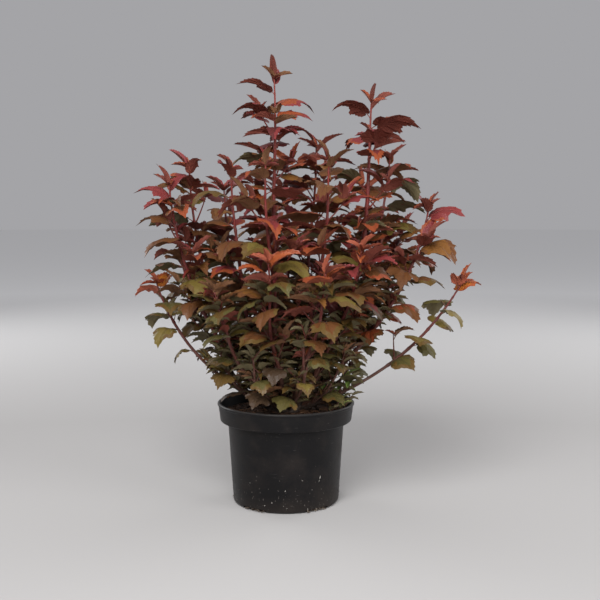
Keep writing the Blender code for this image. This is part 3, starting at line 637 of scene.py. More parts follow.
def even_points(points, steps):
    """The polyline's points respaced to an even step."""
    marks = [0.0]
    for a, b in zip(points, points[1:]):
        marks.append(marks[-1] + (b - a).length)
    spaced = []
    k = 0
    for i in range(steps + 1):
        target = marks[-1] * i / steps
        while k < len(marks) - 2 and marks[k + 1] < target:
            k += 1
        share = (target - marks[k]) / (marks[k + 1] - marks[k])
        spaced.append(points[k].lerp(points[k + 1], share))
    return spaced


def length_of(curve):
    return (curve[1] - curve[0]).length * (len(curve) - 1)


def point_at(curve, distance):
    """Place and direction at a distance along a curve of even steps."""
    step = (curve[1] - curve[0]).length
    k = min(max(int(distance / step), 0), len(curve) - 2)
    share = distance / step - k
    return curve[k].lerp(curve[k + 1], share), (curve[k + 1] - curve[k]).normalized()


def radius_at(cane, share):
    return TIP_RADIUS + (cane.girth - TIP_RADIUS) * max(1 - share, 0) ** TAPER_POWER


class Leaf(NamedTuple):
    """Where one leaf springs from its stem, the way it points, its shape, and its age.

    The age is the distance back from its shoot's tip.
    """
    base: Vector
    outward: Vector
    length: float
    rise: float
    droop: float
    roll: float
    order: float
    age: float


def blend(tip_value, grown_value, distance):
    return tip_value + (grown_value - tip_value) * min(distance / LEAF_GROWN_AT, 1.0)


def level(vector):
    return Vector((vector.x, vector.y, 0))


def side_heading(base, along, turn):
    """The level direction in which a leaf or twig leaves a shoot at the azimuth turn."""
    outward = heading(turn, 0) + level(along) * ALONG_PULL
    if level(base).length > AXIS_RADIUS:
        outward += level(base).normalized() * OUTWARD_PULL
    return outward.normalized()


def held_clear(base, length, rise, droop):
    """The droop, eased where the leaf's tip would reach down to the pot."""
    waist_height = base.z + length * LEAF_WAIST * math.sin(rise)
    steepest = (POT_HEIGHT + LEAF_LOWEST - waist_height) / (length * (1 - LEAF_WAIST))
    return max(droop, math.asin(min(max(steepest, -1.0), 1.0)))


def leaf_on(curve, distance, turn, order, chance):
    """The leaf that a shoot bears at a distance back from its tip."""
    base, along = point_at(curve, length_of(curve) - distance)
    length = blend(LEAF_LENGTH_TIP, LEAF_LENGTH, distance) * chance.uniform(*LENGTH_VARY)
    rise = blend(LEAF_RISE_TIP, LEAF_RISE, distance) + chance.uniform(*RISE_VARY)
    droop = blend(LEAF_DROOP_TIP, LEAF_DROOP, distance) + chance.uniform(*DROOP_VARY)
    roll = chance.uniform(*ROLL_VARY)
    droop = held_clear(base, length, rise, droop)
    outward = side_heading(base, along, turn)
    return Leaf(base, outward, length, rise, droop, roll, order, distance)


def leaves_along(curve, bare, turn, order, chance):
    """Leaves from the tip back to where the shoot is bare, a fixed turn apart."""
    leaves = []
    distance = LEAF_FIRST
    while distance < length_of(curve) - bare:
        leaves.append(leaf_on(curve, distance, turn, order + distance, chance))
        spacing = blend(LEAF_SPACING_TIP, LEAF_SPACING, distance)
        distance += spacing * chance.uniform(*SPACING_VARY)
        turn += LEAF_TURN
    return leaves


def twig_curve(curve, distance, turn, chance):
    """A side twig that leaves the stem and bends upwards."""
    base, along = point_at(curve, length_of(curve) - distance)
    side = side_heading(base, along, turn)
    half = TWIG_LENGTH * chance.uniform(*TWIG_LENGTH_VARY) / 2
    first = side * math.cos(TWIG_RISE) + Vector((0, 0, math.sin(TWIG_RISE)))
    second = (first + Vector((0, 0, TWIG_UPTURN))).normalized()
    knee = base + first * half
    return even_points([base, knee, knee + second * half], TWIG_STEPS)


class Growth(NamedTuple):
    """A whole cane: its curve, where its mass starts, its twigs and the leaves on each."""
    cane: Cane
    curve: list
    start: float
    stem_leaves: list
    twigs: list


def grow(cane, seed):
    """Grow one cane by the rule: leaves up the stem, and side twigs with leaves of their own."""
    chance = random.Random(seed)
    curve = cane_curve(cane, seed)
    start = max(cane.bare * length_of(curve), STUB_LENGTH) + GAP
    turn = math.radians(cane.turn)
    stem_leaves = leaves_along(curve, start + LEAF_BARE, turn, 0.0, chance)
    twigs = []
    distance = TWIG_FIRST
    while distance < length_of(curve) - start - TWIG_LAST:
        turn += LEAF_TURN * TWIG_TURN
        twig = twig_curve(curve, distance, turn, chance)
        order = TWIG_ORDER[0] + TWIG_ORDER[1] * distance
        twig_leaves = leaves_along(twig, TWIG_BARE, turn + TWIG_LEAF_TURN, order, chance)
        twigs.append((twig, twig_leaves))
        distance += TWIG_SPACING * chance.uniform(*TWIG_SPACING_VARY)
    return Growth(cane, curve, start, stem_leaves, twigs)


# Simple bodies that test whether a leaf or twig has room, as in the solids

def closed_loft(rings):
    """Vertices and faces of a closed body through rings of as many points each."""
    sides = len(rings[0])
    last = (len(rings) - 1) * sides
    faces = []
    for low in range(0, last, sides):
        high = low + sides
        for i in range(sides):
            j = (i + 1) % sides
            faces += [(low + i, low + j, high + j), (low + i, high + j, high + i)]
    faces += [tuple(range(sides - 1, -1, -1)), tuple(range(last, last + sides))]
    return [point for ring in rings for point in ring], faces


def tube_rings(path, radii, sides):
    """Rings of points round a path of places and directions, with no twist between them."""
    rings = []
    side = None
    for (point, along), radius in zip(path, radii):
        if side is None:
            side = along.orthogonal().normalized()
        side = (side - along * side.dot(along)).normalized()
        other = along.cross(side)
        ring = []
        for i in range(sides):
            angle = 2 * math.pi * i / sides
            ring.append(point + (side * math.cos(angle) + other * math.sin(angle)) * radius)
        rings.append(ring)
    return rings


def tube(path, radii, sides):
    return closed_loft(tube_rings(path, radii, sides))


def stretch(curve, start, end, step):
    """Places and directions along a curve from start to end, at most a step apart."""
    count = max(2, math.ceil((end - start) / step) + 1)
    return [point_at(curve, start + (end - start) * i / (count - 1)) for i in range(count)]


def limb(cane, curve, start, end, sides, step, fatten=1.0):
    path = stretch(curve, start, end, step)
    whole = length_of(curve)
    span = (end - start) / (len(path) - 1)
    radii = [radius_at(cane, (start + span * i) / whole) * fatten for i in range(len(path))]
    return tube(path, radii, sides)


def seated(point, path):
    """The place nearest to a point on the straight runs between a path's places."""
    best = None
    for (a, _), (b, _) in zip(path, path[1:]):
        share = (point - a).dot(b - a) / (b - a).length_squared
        near = a.lerp(b, min(max(share, 0.0), SEAT_LAST))
        if best is None or (point - near).length < (point - best).length:
            best = near
    return best


def twig_solid(root, tip, grow_by):
    along = (tip - root).normalized()
    radii = [TWIG_RADIUS * TWIG_TAPER + grow_by, TWIG_RADIUS + grow_by]
    return tube([(root, along), (tip, along)], radii, STEM_SIDES)


def leaf_frame(leaf):
    """Waist, tip, side and upper normal of a leaf that rises on its stalk and then droops."""
    up = Vector((0, 0, 1))
    first = leaf.outward * math.cos(leaf.rise) + up * math.sin(leaf.rise)
    second = leaf.outward * math.cos(leaf.droop) + up * math.sin(leaf.droop)
    waist = leaf.base + first * leaf.length * LEAF_WAIST
    tip = waist + second * leaf.length * (1 - LEAF_WAIST)
    across = leaf.outward.cross(up).normalized()
    normal = across.cross((tip - leaf.base).normalized()).normalized()
    side = across * math.cos(leaf.roll) + normal * math.sin(leaf.roll)
    return first, waist, tip, side, normal


def leaf_solid(leaf, grow_by=0.0, from_share=0.0):
    first, waist, tip, side, normal = leaf_frame(leaf)
    half_width = leaf.length * LEAF_HALF_WIDTH + grow_by
    half_thick = leaf.length * LEAF_THICKNESS / 2 + grow_by
    root = leaf.base + (waist - leaf.base) * from_share
    end = tip + (tip - waist).normalized() * grow_by
    keel = leaf.base + first * leaf.length * LEAF_KEEL
    sag = normal * half_width * LEAF_SAG
    ridge = keel.lerp(waist, from_share * 2)
    left = waist + side * half_width - sag
    right = waist - side * half_width - sag
    verts = [root, end, left, right, ridge + normal * half_thick, ridge - normal * half_thick]
    faces = [(0, 4, 2), (2, 4, 1), (1, 4, 3), (3, 4, 0), (0, 2, 5), (2, 1, 5), (1, 3, 5), (3, 0, 5)]
    return verts, faces


def extent(body):
    verts = np.array(body[0])
    return verts.min(0), verts.max(0)


class Room:
    """What is already placed, and the test that a new leaf or twig keeps clear of it."""

    def __init__(self):
        self.lows = np.empty((0, 3))
        self.highs = np.empty((0, 3))
        self.owners = np.empty(0, int)
        self.trees = []

    def add(self, body, owner=-1):
        """Place a body; owner is the number of the cane whose mass it belongs to."""
        low, high = extent(body)
        self.lows = np.vstack((self.lows, low))
        self.highs = np.vstack((self.highs, high))
        self.owners = np.append(self.owners, owner)
        self.trees.append(BVHTree.FromPolygons(*body))

    def is_free(self, body, own=None):
        """True where the body meets nothing placed, apart from what belongs to the cane own."""
        low, high = extent(body)
        near = np.all((low <= self.highs) & (high >= self.lows), axis=1)
        if own is not None:
            near &= self.owners != own
        tree = BVHTree.FromPolygons(*body)
        return not any(tree.overlap(self.trees[i]) for i in np.flatnonzero(near))


def space_tree(growths):
    """A search tree over the leafy part of every cane, with each point's cane number."""
    places = []
    for number, growth in enumerate(growths):
        step = (growth.curve[1] - growth.curve[0]).length
        places += [
            (point, number) for k, point in enumerate(growth.curve) if k * step >= growth.start]
    tree = KDTree(len(places))
    for index, (point, _) in enumerate(places):
        tree.insert(point, index)
    tree.balance()
    return tree, [number for _, number in places]


def within(place, box):
    return all(low < value < high for low, value, high in zip(box[0], place, box[1]))


class Placed(NamedTuple):
    """A leaf that has its place: the number of its cane, the leaf, and the spray it belongs to."""
    number: int
    leaf: Leaf
    spray: tuple


class Crown:
    """The canes as they grow, the room that is taken, and the leaves and twigs placed in it."""

    def __init__(self, growths, obstacles):
        self.growths = growths
        self.room = Room()
        self.paths = []
        self.waiting = []
        self.leaves = []
        self.twigs = []
        self.tree, self.owners = space_tree(growths)
        for obj in obstacles:
            verts = [v.co.copy() for v in obj.data.vertices]
            self.room.add((verts, [tuple(p.vertices) for p in obj.data.polygons]))

    def in_space(self, number, point, tolerance):
        """True where no other cane's foliage is nearer than the cane's own, within tolerance."""
        _, index, nearest = self.tree.find(point)
        if self.owners[index] == number:
            return True
        near = self.tree.find_range(point, nearest + tolerance)
        return any(self.owners[other] == number for _, other, _ in near)

    def place_limbs(self):
        for number, growth in enumerate(self.growths):
            cane, curve, start = growth.cane, growth.curve, growth.start
            self.room.add(limb(cane, curve, 0.0, STUB_LENGTH, LIMB_SIDES, STUB_LENGTH, STUB_FATTEN))
            if cane.bare:
                bough = (STUB_LENGTH + GAP, start - GAP, LIMB_SIDES, LIMB_STEP)
                self.room.add(limb(cane, curve, *bough))
            whole = length_of(curve)
            stem = limb(cane, curve, start, whole, STEM_SIDES, STEM_STEP, STEM_FATTEN)
            self.room.add(stem, number)
            self.paths.append(stretch(curve, start, whole, STEM_STEP))

    def place_twigs(self):
        for number, growth in enumerate(self.growths):
            self.wait_for(number, growth.stem_leaves, self.paths[number], "stem")
            for k, (twig, twig_leaves) in enumerate(growth.twigs):
                root = seated(twig[0], self.paths[number])
                tip = twig[-1]
                outer = twig_solid(root.lerp(tip, ROOT_SHARE), tip, LEAF_CLEAR)
                if not self.in_space(number, tip, SPACE_TOLERANCE) or not self.room.is_free(outer):
                    continue
                if self.room.is_free(twig_solid(root, tip, LEAF_CLEAR), number):
                    self.room.add(twig_solid(root, tip, 0.0), number)
                    self.twigs.append((number, root, tip))
                    self.wait_for(number, twig_leaves, [(root, None), (tip, None)], k)

    def wait_for(self, number, leaves, path, shoot):
        """Seat leaves on the straight runs of their limb and let them wait for their turn."""
        for leaf in leaves:
            seat = leaf._replace(base=seated(leaf.base, path))
            part = int(leaf.age / SPRAY_PART) if shoot == "stem" else 0
            self.waiting.append((leaf.order, number, seat, (shoot, part)))

    def place_leaves(self):
        """Leaves nearest a tip come first, so that the outline is whole."""
        self.waiting.sort(key=lambda entry: entry[0])
        for _, number, leaf, spray in self.waiting:
            _, waist, tip, _, _ = leaf_frame(leaf)
            if self.in_space(number, waist.lerp(tip, SPACE_POINT), SPACE_TOLERANCE):
                self.fit_leaf(number, leaf, spray)

    def fit_leaf(self, number, leaf, spray):
        """Place the leaf as it grows, or turned and lifted a little, or not at all."""
        for turn, lift in LEAF_TRIES:
            outward = Matrix.Rotation(turn, 3, "Z") @ leaf.outward
            trial = leaf._replace(outward=outward, rise=leaf.rise + lift, droop=leaf.droop + lift)
            if not self.room.is_free(leaf_solid(trial, LEAF_CLEAR, ROOT_SHARE)):
                continue
            if self.room.is_free(leaf_solid(trial, LEAF_CLEAR), number):
                self.room.add(leaf_solid(trial), number)
                self.leaves.append(Placed(number, trial, spray))
                return True
        return False

    def place_sprays(self):
        """The finer growth: sprays in the axils, at the green sprouts and on the bare feet."""
        bearers = [placed for placed in self.leaves if placed.leaf.age > SPRAY_YOUNGEST]
        for k, (number, leaf, _) in enumerate(bearers):
            chance = random.Random(SPRAY_SEED + k)
            share = np.interp(leaf.base.z, SPRAY_HEIGHTS, SPRAY_SHARES)
            if not self.is_open(number) and chance.random() < share:
                self.grow_spray(number, leaf.base, leaf.outward, ("axil", k), chance)
        for k, (radius, azimuth) in enumerate(SPROUTS):
            outward = heading(math.radians(azimuth), 0)
            base = outward * radius + Vector((0, 0, SOIL_TOP))
            _, index, _ = self.tree.find(base)
            chance = random.Random(f"sprout {k}")
            self.grow_spray(self.owners[index], base, outward, ("sprout", k), chance, SPROUT_SCALE)
        for scale in FOOT_SCALES:
            for number, growth in enumerate(self.growths):
                chance = random.Random(f"foot {number} {scale}")
                distance = FOOT_FIRST
                turn = math.radians(growth.cane.azimuth)
                while distance < growth.start:
                    base, along = point_at(growth.curve, distance)
                    swerve = chance.uniform(-FOOT_SWERVE, FOOT_SWERVE)
                    outward = side_heading(base, along, turn + swerve)
                    if level(base).length < FOOT_REACH:
                        self.grow_spray(number, base, outward, ("foot", distance), chance, scale)
                    distance += FOOT_SPACING * chance.uniform(*SPACING_VARY)
        self.fill_low_crown()

    def is_open(self, number):
        return self.growths[number].cane.name in OPEN_CANES

    def fill_low_crown(self):
        """Small sprays from the seats of the low leaves close what is still open there."""
        seats = [placed for placed in self.leaves if placed.leaf.base.z < FILL_BELOW]
        for k, (number, leaf, _) in enumerate(seats):
            chance = random.Random(f"fill {k}")
            if chance.random() < FILL_SHARE and not self.is_open(number):
                outward = Matrix.Rotation(chance.choice(FILL_TURNS), 3, "Z") @ leaf.outward
                self.grow_spray(number, leaf.base, outward, ("fill", k), chance, FILL_SCALE)

    def grow_spray(self, number, base, outward, spray, chance, scale=1.0):
        """A short twig with a few smaller leaves. It is kept only if one of them finds room."""
        away = Matrix.Rotation(chance.uniform(-SPRAY_SWERVE, SPRAY_SWERVE), 3, "Z") @ outward
        rise = chance.uniform(*SPRAY_RISE)
        length = chance.uniform(*SPRAY_LENGTH)
        direction = away * math.cos(rise) + Vector((0, 0, math.sin(rise)))
        tip = base + direction * length
        turn = math.atan2(away.y, away.x)
        sizes = [np.interp(base.z, SPRAY_HEIGHTS, ends) for ends in SPRAY_LEAF_LENGTH]
        count = chance.randint(*SPRAY_LEAVES)
        fitted = 0
        for i in range(count):
            seat = base.lerp(tip, 1 - SPRAY_SPAN * i / count)
            size = scale * chance.uniform(*sizes)
            lift = chance.uniform(*SPRAY_LEAF_RISE)
            droop = held_clear(seat, size, lift, chance.uniform(*SPRAY_LEAF_DROOP))
            facing = heading(turn + LEAF_TURN * i, 0) + away * SPRAY_FORWARD
            roll = chance.uniform(*ROLL_VARY)
            age = LEAF_GROWN_AT * chance.uniform(*SPRAY_AGE)
            leaf = Leaf(seat, facing.normalized(), size, lift, droop, roll, 0.0, age)
            _, waist, end, _, _ = leaf_frame(leaf)
            point = waist.lerp(end, SPACE_POINT)
            if within(end, CAD_BOX) and self.in_space(number, point, SPRAY_TOLERANCE):
                fitted += self.fit_leaf(number, leaf, spray)
        if fitted:
            self.twigs.append((number, base, tip))

    def place_spears(self):
        """Small leaves that have just opened, round the tip of every cane and side twig."""
        ends = [(n, growth.curve[-1], SPEAR_LENGTHS[0]) for n, growth in enumerate(self.growths)]
        ends += [(number, tip, SPEAR_LENGTHS[1]) for number, _, tip in self.twigs]
        for number, tip, length in ends:
            chance = random.Random(f"spear {tip.x:.5f} {tip.y:.5f}")
            turn = chance.uniform(0, 2 * math.pi)
            for i in range(SPEAR_COUNT):
                facing = heading(turn + LEAF_TURN * i, 0)
                size = length * chance.uniform(*SPEAR_VARY)
                rise = chance.uniform(*SPEAR_RISE)
                roll = chance.uniform(*ROLL_VARY)
                leaf = Leaf(tip, facing, size, rise, rise - SPEAR_CURL, roll, 0.0, 0.0)
                self.leaves.append(Placed(number, leaf, (SPEAR, length)))


# Meshes from arrays

class Sheet:
    """Vertices and triangles that are gathered into one mesh."""

    def __init__(self):
        self.verts = []
        self.faces = []
        self.count = 0

    def add(self, verts, faces):
        self.verts.append(np.asarray(verts, float))
        self.faces.append(np.asarray(faces, int) + self.count)
        self.count += len(verts)

    def build(self, name, material, smooth=True):
        return mesh_object(name, np.vstack(self.verts), np.vstack(self.faces), material, smooth)


def new_object(name, data):
    obj = bpy.data.objects.new(name, data)
    bpy.context.scene.collection.objects.link(obj)
    return obj


def mesh_object(name, verts, faces, material, smooth=True):
    """An object of triangles, given as arrays."""
    mesh = bpy.data.meshes.new(name)
    mesh.vertices.add(len(verts))
    mesh.vertices.foreach_set("co", np.asarray(verts, np.float32).ravel())
    mesh.loops.add(3 * len(faces))
    mesh.loops.foreach_set("vertex_index", np.asarray(faces, np.int32).ravel())
    mesh.polygons.add(len(faces))
    mesh.polygons.foreach_set("loop_start", np.arange(0, 3 * len(faces), 3, dtype=np.int32))
    mesh.update(calc_edges=True)
    mesh.validate()
    mesh.polygons.foreach_set("use_smooth", np.full(len(mesh.polygons), smooth))
    mesh.materials.append(material)
    return new_object(name, mesh)


def even_turns(sides):
    return np.arange(sides) * 2 * math.pi / sides


@cache
def capped_faces(rings, sides):
    """Triangles over rings of vertices, closed by two poles that come after them."""
    last, count = (rings - 1) * sides, rings * sides
    turns = [(c, (c + 1) % sides) for c in range(sides)]
    faces = []
    for a in range(0, last, sides):
        b = a + sides
        for c, d in turns:
            faces += [(a + c, a + d, b + d), (a + c, b + d, b + c)]
    for c, d in turns:
        faces += [(d, c, count), (last + c, last + d, count + 1)]
    return np.array(faces)


def quadratic(start, middle, end, steps):
    t = np.linspace(0, 1, steps + 1)[:, None]
    return start * (1 - t) ** 2 + middle * 2 * t * (1 - t) + end * t * t


def tube_arrays(points, radii, sides, relief=None):
    """A closed tube along points; relief gives each vertex's share of the radius."""
    points = np.asarray(points, float)
    along = np.gradient(points, axis=0)
    along /= np.linalg.norm(along, axis=1)[:, None]
    side = np.cross(along[0], OFF_AXIS)
    angles = even_turns(sides)
    rings = []
    for k, (point, way) in enumerate(zip(points, along)):
        side = side - way * side.dot(way)
        side /= np.linalg.norm(side)
        other = np.cross(way, side)
        reach = radii[k] * (np.ones(sides) if relief is None else relief[k])
        spokes = np.outer(np.cos(angles), side) + np.outer(np.sin(angles), other)
        rings.append(point + spokes * reach[:, None])
    return np.vstack((*rings, points[:1], points[-1:])), capped_faces(len(points), sides)


# Leaf blades

def outline_of(maturity, shade):
    """Radii at each degree from the tip round to the stalk, blended from the three outlines."""
    grown = OUTLINE["upper"] * (1 - shade) + OUTLINE["shade"] * shade
    return OUTLINE["young"] * (1 - maturity) + grown * maturity


def half_outline(radii, count):
    """Angles and radii of points evenly spaced along half of the outline."""
    x = radii * np.cos(DEGREES)
    y = radii * np.sin(DEGREES)
    run = np.concatenate(([0], np.cumsum(np.hypot(np.diff(x), np.diff(y)))))
    marks = np.linspace(0, run[-1], count + 1)
    return np.interp(marks, run, DEGREES), np.interp(marks, run, radii)


def toothed(radii, depth):
    cut = np.ones(len(radii))
    cut[1:-2:2] -= depth
    return radii * cut


@cache
def blade_faces(columns, rings):
    """Triangles of a blade seen from above: a fan round the joint and bands between the rings."""
    faces = []
    for c in range(columns):
        d = (c + 1) % columns
        faces.append((0, 1 + d, 1 + c))
        for ring in range(rings - 1):
            a, b = 1 + ring * columns + c, 1 + ring * columns + d
            faces += [(a, b, b + columns), (a, b + columns, a + columns)]
    return np.array(faces)


def between(ends, share):
    return ends[0] + (ends[1] - ends[0]) * share


class Blade:
    """One leaf's surface: a midrib that arches from the stalk's joint, and what hangs on it."""

    def __init__(self, leaf, chance):
        shade = float(np.interp(leaf.base.z, SHADE_HEIGHTS, (1, 0)))
        grown = (leaf.length - YOUNG_LENGTH) / (GROWN_LENGTH - YOUNG_LENGTH)
        maturity = float(np.clip(grown, 0, 1))
        hang = between(HANG, shade) * maturity * chance.uniform(*HANG_VARY)
        droop = held_clear(leaf.base, leaf.length, leaf.rise, leaf.droop - hang)
        length = leaf.length * float(np.interp(leaf.base.z, BLADE_HEIGHTS, BLADE_SHARES))
        leaf = leaf._replace(droop=droop, length=length)
        self.large = leaf.length > SMALL_LEAF
        first, waist, tip, _, _ = leaf_frame(leaf)
        joint_share = between(JOINT_GROWN, maturity * between(JOINT_SPREAD, shade))
        self.joint = np.array(leaf.base + first * leaf.length * joint_share)
        self.first = np.array(first)
        girth = between(STALK_GIRTH, leaf.length / STALK_FULL_LENGTH)
        self.girth = STALK_RADIUS * min(1.0, girth)
        tip = np.array(tip + (tip - waist) * TIP_STRETCH * (1 - TIP_EASED * shade))
        self.arc = quadratic(self.joint, np.array(waist), tip, MIDRIB_STEPS)
        steps = np.linalg.norm(np.diff(self.arc, axis=0), axis=1)
        self.size = steps.sum()
        self.marks = np.concatenate(([0], np.cumsum(steps))) / self.size
        across = np.array(leaf.outward.cross(Vector((0, 0, 1))).normalized())
        self.tangent = np.gradient(self.arc, axis=0)
        self.tangent /= np.linalg.norm(self.tangent, axis=1)[:, None]
        upper = np.cross(across, self.tangent)
        self.side = across * math.cos(leaf.roll) + upper * math.sin(leaf.roll)
        self.normal = np.cross(self.side, self.tangent)
        grade = self.large * (1 + (leaf.base.z > FINE_ABOVE))
        count, self.rings, self.vein_row = BLADE_GRADES[grade]
        angle, reach = half_outline(outline_of(maturity, shade), count)
        tooth = TOOTH * chance.uniform(*TOOTH_VARY)
        left = toothed(reach, tooth) * chance.uniform(*HALF_VARY)
        right = toothed(reach, tooth) * chance.uniform(*HALF_VARY)
        left[0] = right[0] = reach[0]
        left[-1] = right[-1] = reach[-1]
        self.columns = 2 * count
        self.angle = np.concatenate((angle, -angle[-2:0:-1]))
        self.reach = np.concatenate((left, right[-2:0:-1]))
        self.fold = FOLD * (1 - maturity) * chance.uniform(*FOLD_VARY)
        self.sag = between(SAG, shade) * between(SAG_GROWN, maturity) * chance.uniform(*SAG_VARY)
        eased = 1 - DROP_EASED * shade
        self.drop = DROP * maturity * eased * chance.uniform(*EDGE_DROP_VARY)
        strength = WAVE * chance.uniform(*WAVE_VARY)
        self.wave = (strength, chance.uniform(0, 2 * math.pi), chance.choice(WAVE_COUNTS))

    def along(self, u, rows):
        """Rows that are given at the midrib's marks, read at the shares u of its length."""
        return np.stack([np.interp(u, self.marks, row) for row in rows.T], 1)

    def at(self, u, v, lift):
        """The place of points u along the midrib and v beside it, in shares of its length."""
        place = self.along(u, self.arc) + np.minimum(u, 0)[:, None] * self.tangent[0] * self.size
        reach = v * math.cos(self.fold) * (1 - SAG_TUCK * self.sag * v * v)
        place += self.along(u, self.side) * (reach * self.size)[:, None]
        return place + self.along(u, self.normal) * (lift * self.size)[:, None]

    def lift(self, u, v, angle, share, veins=0.0):
        """How far a point stands over the midrib's ribbon: folds, pleats, sag and a waved edge."""
        radius = np.hypot(u, v)
        strength, phase, waves = self.wave
        height = math.sin(self.fold) * np.abs(v) - self.sag * v * v
        pleats = np.abs(np.sin(angle / PLEAT_ANGLE * math.pi)) * (np.abs(angle) < FAN_ANGLE)
        height += PLEAT * radius * pleats
        height += strength * share**2 * radius * np.sin(waves * angle + phase)
        height += VEIN * veins * np.sin(share * math.pi * VEIN_WAVE)
        return height - self.drop * np.clip(u - DROP_FROM, 0, 1) ** 2

    def sheets(self):
        """Vertices of the upper face and the underside, and the triangles of the upper one."""
        rings = len(self.rings)
        vein_row = np.resize(self.vein_row, self.columns)
        share = np.concatenate(([0.0], np.repeat(self.rings, self.columns)))
        angle, reach, veins = (
            np.concatenate(([0.0], np.tile(row, rings)))
            for row in (self.angle, self.reach, vein_row))
        u = share * reach * np.cos(angle)
        v = share * reach * np.sin(angle)
        lift = self.lift(u, v, angle, share, veins)
        upper = self.at(u, v, lift)
        under = self.at(u, v, lift - BLADE_THICKNESS / self.size * (1 - share**EDGE_POWER))
        return upper, under, blade_faces(self.columns, rings)

    def flush(self, chance):
        """Which triangles of the upper face take the margin's tint: patches in from the edge."""
        each = 2 * len(self.rings) - 1
        flushed = np.zeros((self.columns, each), bool)
        if chance.random() <= FLUSH_SHARE:
            phase, waves = chance.uniform(0, 2 * math.pi), chance.choice(FLUSH_WAVES)
            depth = np.sin(waves * self.angle + phase) + chance.uniform(*FLUSH_RAISE)
            flushed[depth > 0, -2:] = True
            if each > 3:
                flushed[depth > FLUSH_DEEP, -4:-2] = True
        return flushed.ravel()

    def stalk(self, base):
        """The stalk from its seat on the shoot, and the rib that carries it on under the blade."""
        gap = np.linalg.norm(self.joint - base)
        away = self.first + np.array((0, 0, STALK_LIFT))
        away /= np.linalg.norm(away)
        stem = quadratic(base, base + away * gap / 2, self.joint, STALK_STEPS[self.large])
        u = np.linspace(0, RIB_REACH, RIB_STEPS[self.large] + 1)[1:]
        zero = np.zeros(len(u))
        lift = self.lift(u, zero, zero, zero) - (BLADE_THICKNESS + RIB_SINK * (1 - u)) / self.size
        points = np.vstack((stem, self.at(u, zero, lift)))
        shares = (np.linspace(*STALK_TAPER, len(stem)), np.linspace(*RIB_TAPER, len(u)))
        return tube_arrays(points, self.girth * np.concatenate(shares), STALK_SIDES[self.large])


# Tints

def zone_of(number, leaf, spray):
    """The part of the crown that a leaf belongs to, which settles the tints it may take."""
    if spray[0] == "sprout" or within(leaf.base, SPROUT_BOX):
        return "sprout"
    if number >= len(CANES):
        return "rim" if leaf.base.z < ZONE_HEIGHTS[0][1] else "foot"
    cane = CANES[number].name
    young = spray[0] in ("stem", SPEAR) and leaf.age < CORAL_AGE
    if cane in CORAL_CANES and young:
        return "coral"
    if cane in OPEN_CANES:
        return "amber" if young else "bough"
    if leaf.age < TIP_AGE and leaf.base.z > TIP_LOWEST:
        return "tips"
    return next(zone for zone, height in ZONE_HEIGHTS if leaf.base.z < height)


def pick(zone, chance):
    names, shares = zip(*ZONES[zone])
    return chance.choices(names, shares)[0]


def tint_of(number, leaf, spray):
    """Tints are dealt out by spray; a few leaves differ from the rest of their spray."""
    zone = zone_of(number, leaf, spray)
    own = random.Random(f"leaf {leaf.base.x:.5f} {leaf.base.z:.5f} {leaf.length:.5f}")
    if own.random() < ODD_LEAVES:
        return pick(zone, own)
    return pick(zone, random.Random(f"spray {zone} {number} {spray}"))


# Materials

def new_material(name, colour, roughness, specular):
    """A material with its plain values set on the shader itself."""
    material = bpy.data.materials.new(name)
    material.use_nodes = True
    tree = material.node_tree
    shader = tree.nodes["Principled BSDF"]
    shader.inputs["Base Color"].default_value = (*colour, 1.0)
    shader.inputs["Roughness"].default_value = roughness
    shader.inputs["Specular IOR Level"].default_value = specular
    return material, tree, shader


def placed_coordinates(tree, stretch_by):
    coordinates = tree.nodes.new("ShaderNodeTexCoord")
    mapping = tree.nodes.new("ShaderNodeMapping")
    mapping.inputs["Scale"].default_value = stretch_by
    tree.links.new(coordinates.outputs["Object"], mapping.inputs["Vector"])
    return mapping.outputs["Vector"]


def height_field(tree):
    """The height of each point of the surface."""
    coordinates = tree.nodes.new("ShaderNodeTexCoord")
    split = tree.nodes.new("ShaderNodeSeparateXYZ")
    tree.links.new(coordinates.outputs["Object"], split.inputs["Vector"])
    return split.outputs["Z"]


def noise_field(tree, scale, detail=3.0, rough=0.5, stretch_by=(1, 1, 1)):
    field = tree.nodes.new("ShaderNodeTexNoise")
    for socket, value in (("Scale", scale), ("Detail", detail), ("Roughness", rough)):
        field.inputs[socket].default_value = value
    tree.links.new(placed_coordinates(tree, stretch_by), field.inputs["Vector"])
    return field.outputs["Fac"]


def ramp(tree, source, stops):
    """A colour ramp over a field, from (place, colour) stops."""
    node = tree.nodes.new("ShaderNodeValToRGB")
    elements = node.color_ramp.elements
    while len(elements) < len(stops):
        elements.new(0.5)
    for element, (place, colour) in zip(elements, stops):
        element.position = place
        element.color = (*colour, 1.0)
    tree.links.new(source, node.inputs["Fac"])
    return node.outputs["Color"]


def grey_ramp(tree, source, stops):
    return ramp(tree, source, [(place, (value, value, value)) for place, value in stops])


def rough_field(tree, shader, source, low, high):
    """Roughness from low to high over the span that the noise mostly keeps to."""
    span = tree.nodes.new("ShaderNodeMapRange")
    sockets = ("From Min", "From Max", "To Min", "To Max")
    for socket, value in zip(sockets, (*NOISE_SPAN, low, high)):
        span.inputs[socket].default_value = value
    tree.links.new(source, span.inputs["Value"])
    tree.links.new(span.outputs["Result"], shader.inputs["Roughness"])


def bump_field(tree, shader, source, strength, distance, under=None):
    bump = tree.nodes.new("ShaderNodeBump")
    bump.inputs["Strength"].default_value = strength
    bump.inputs["Distance"].default_value = distance
    tree.links.new(source, bump.inputs["Height"])
    if under is not None:
        tree.links.new(under, bump.inputs["Normal"])
    tree.links.new(bump.outputs["Normal"], shader.inputs["Normal"])
    return bump.outputs["Normal"]


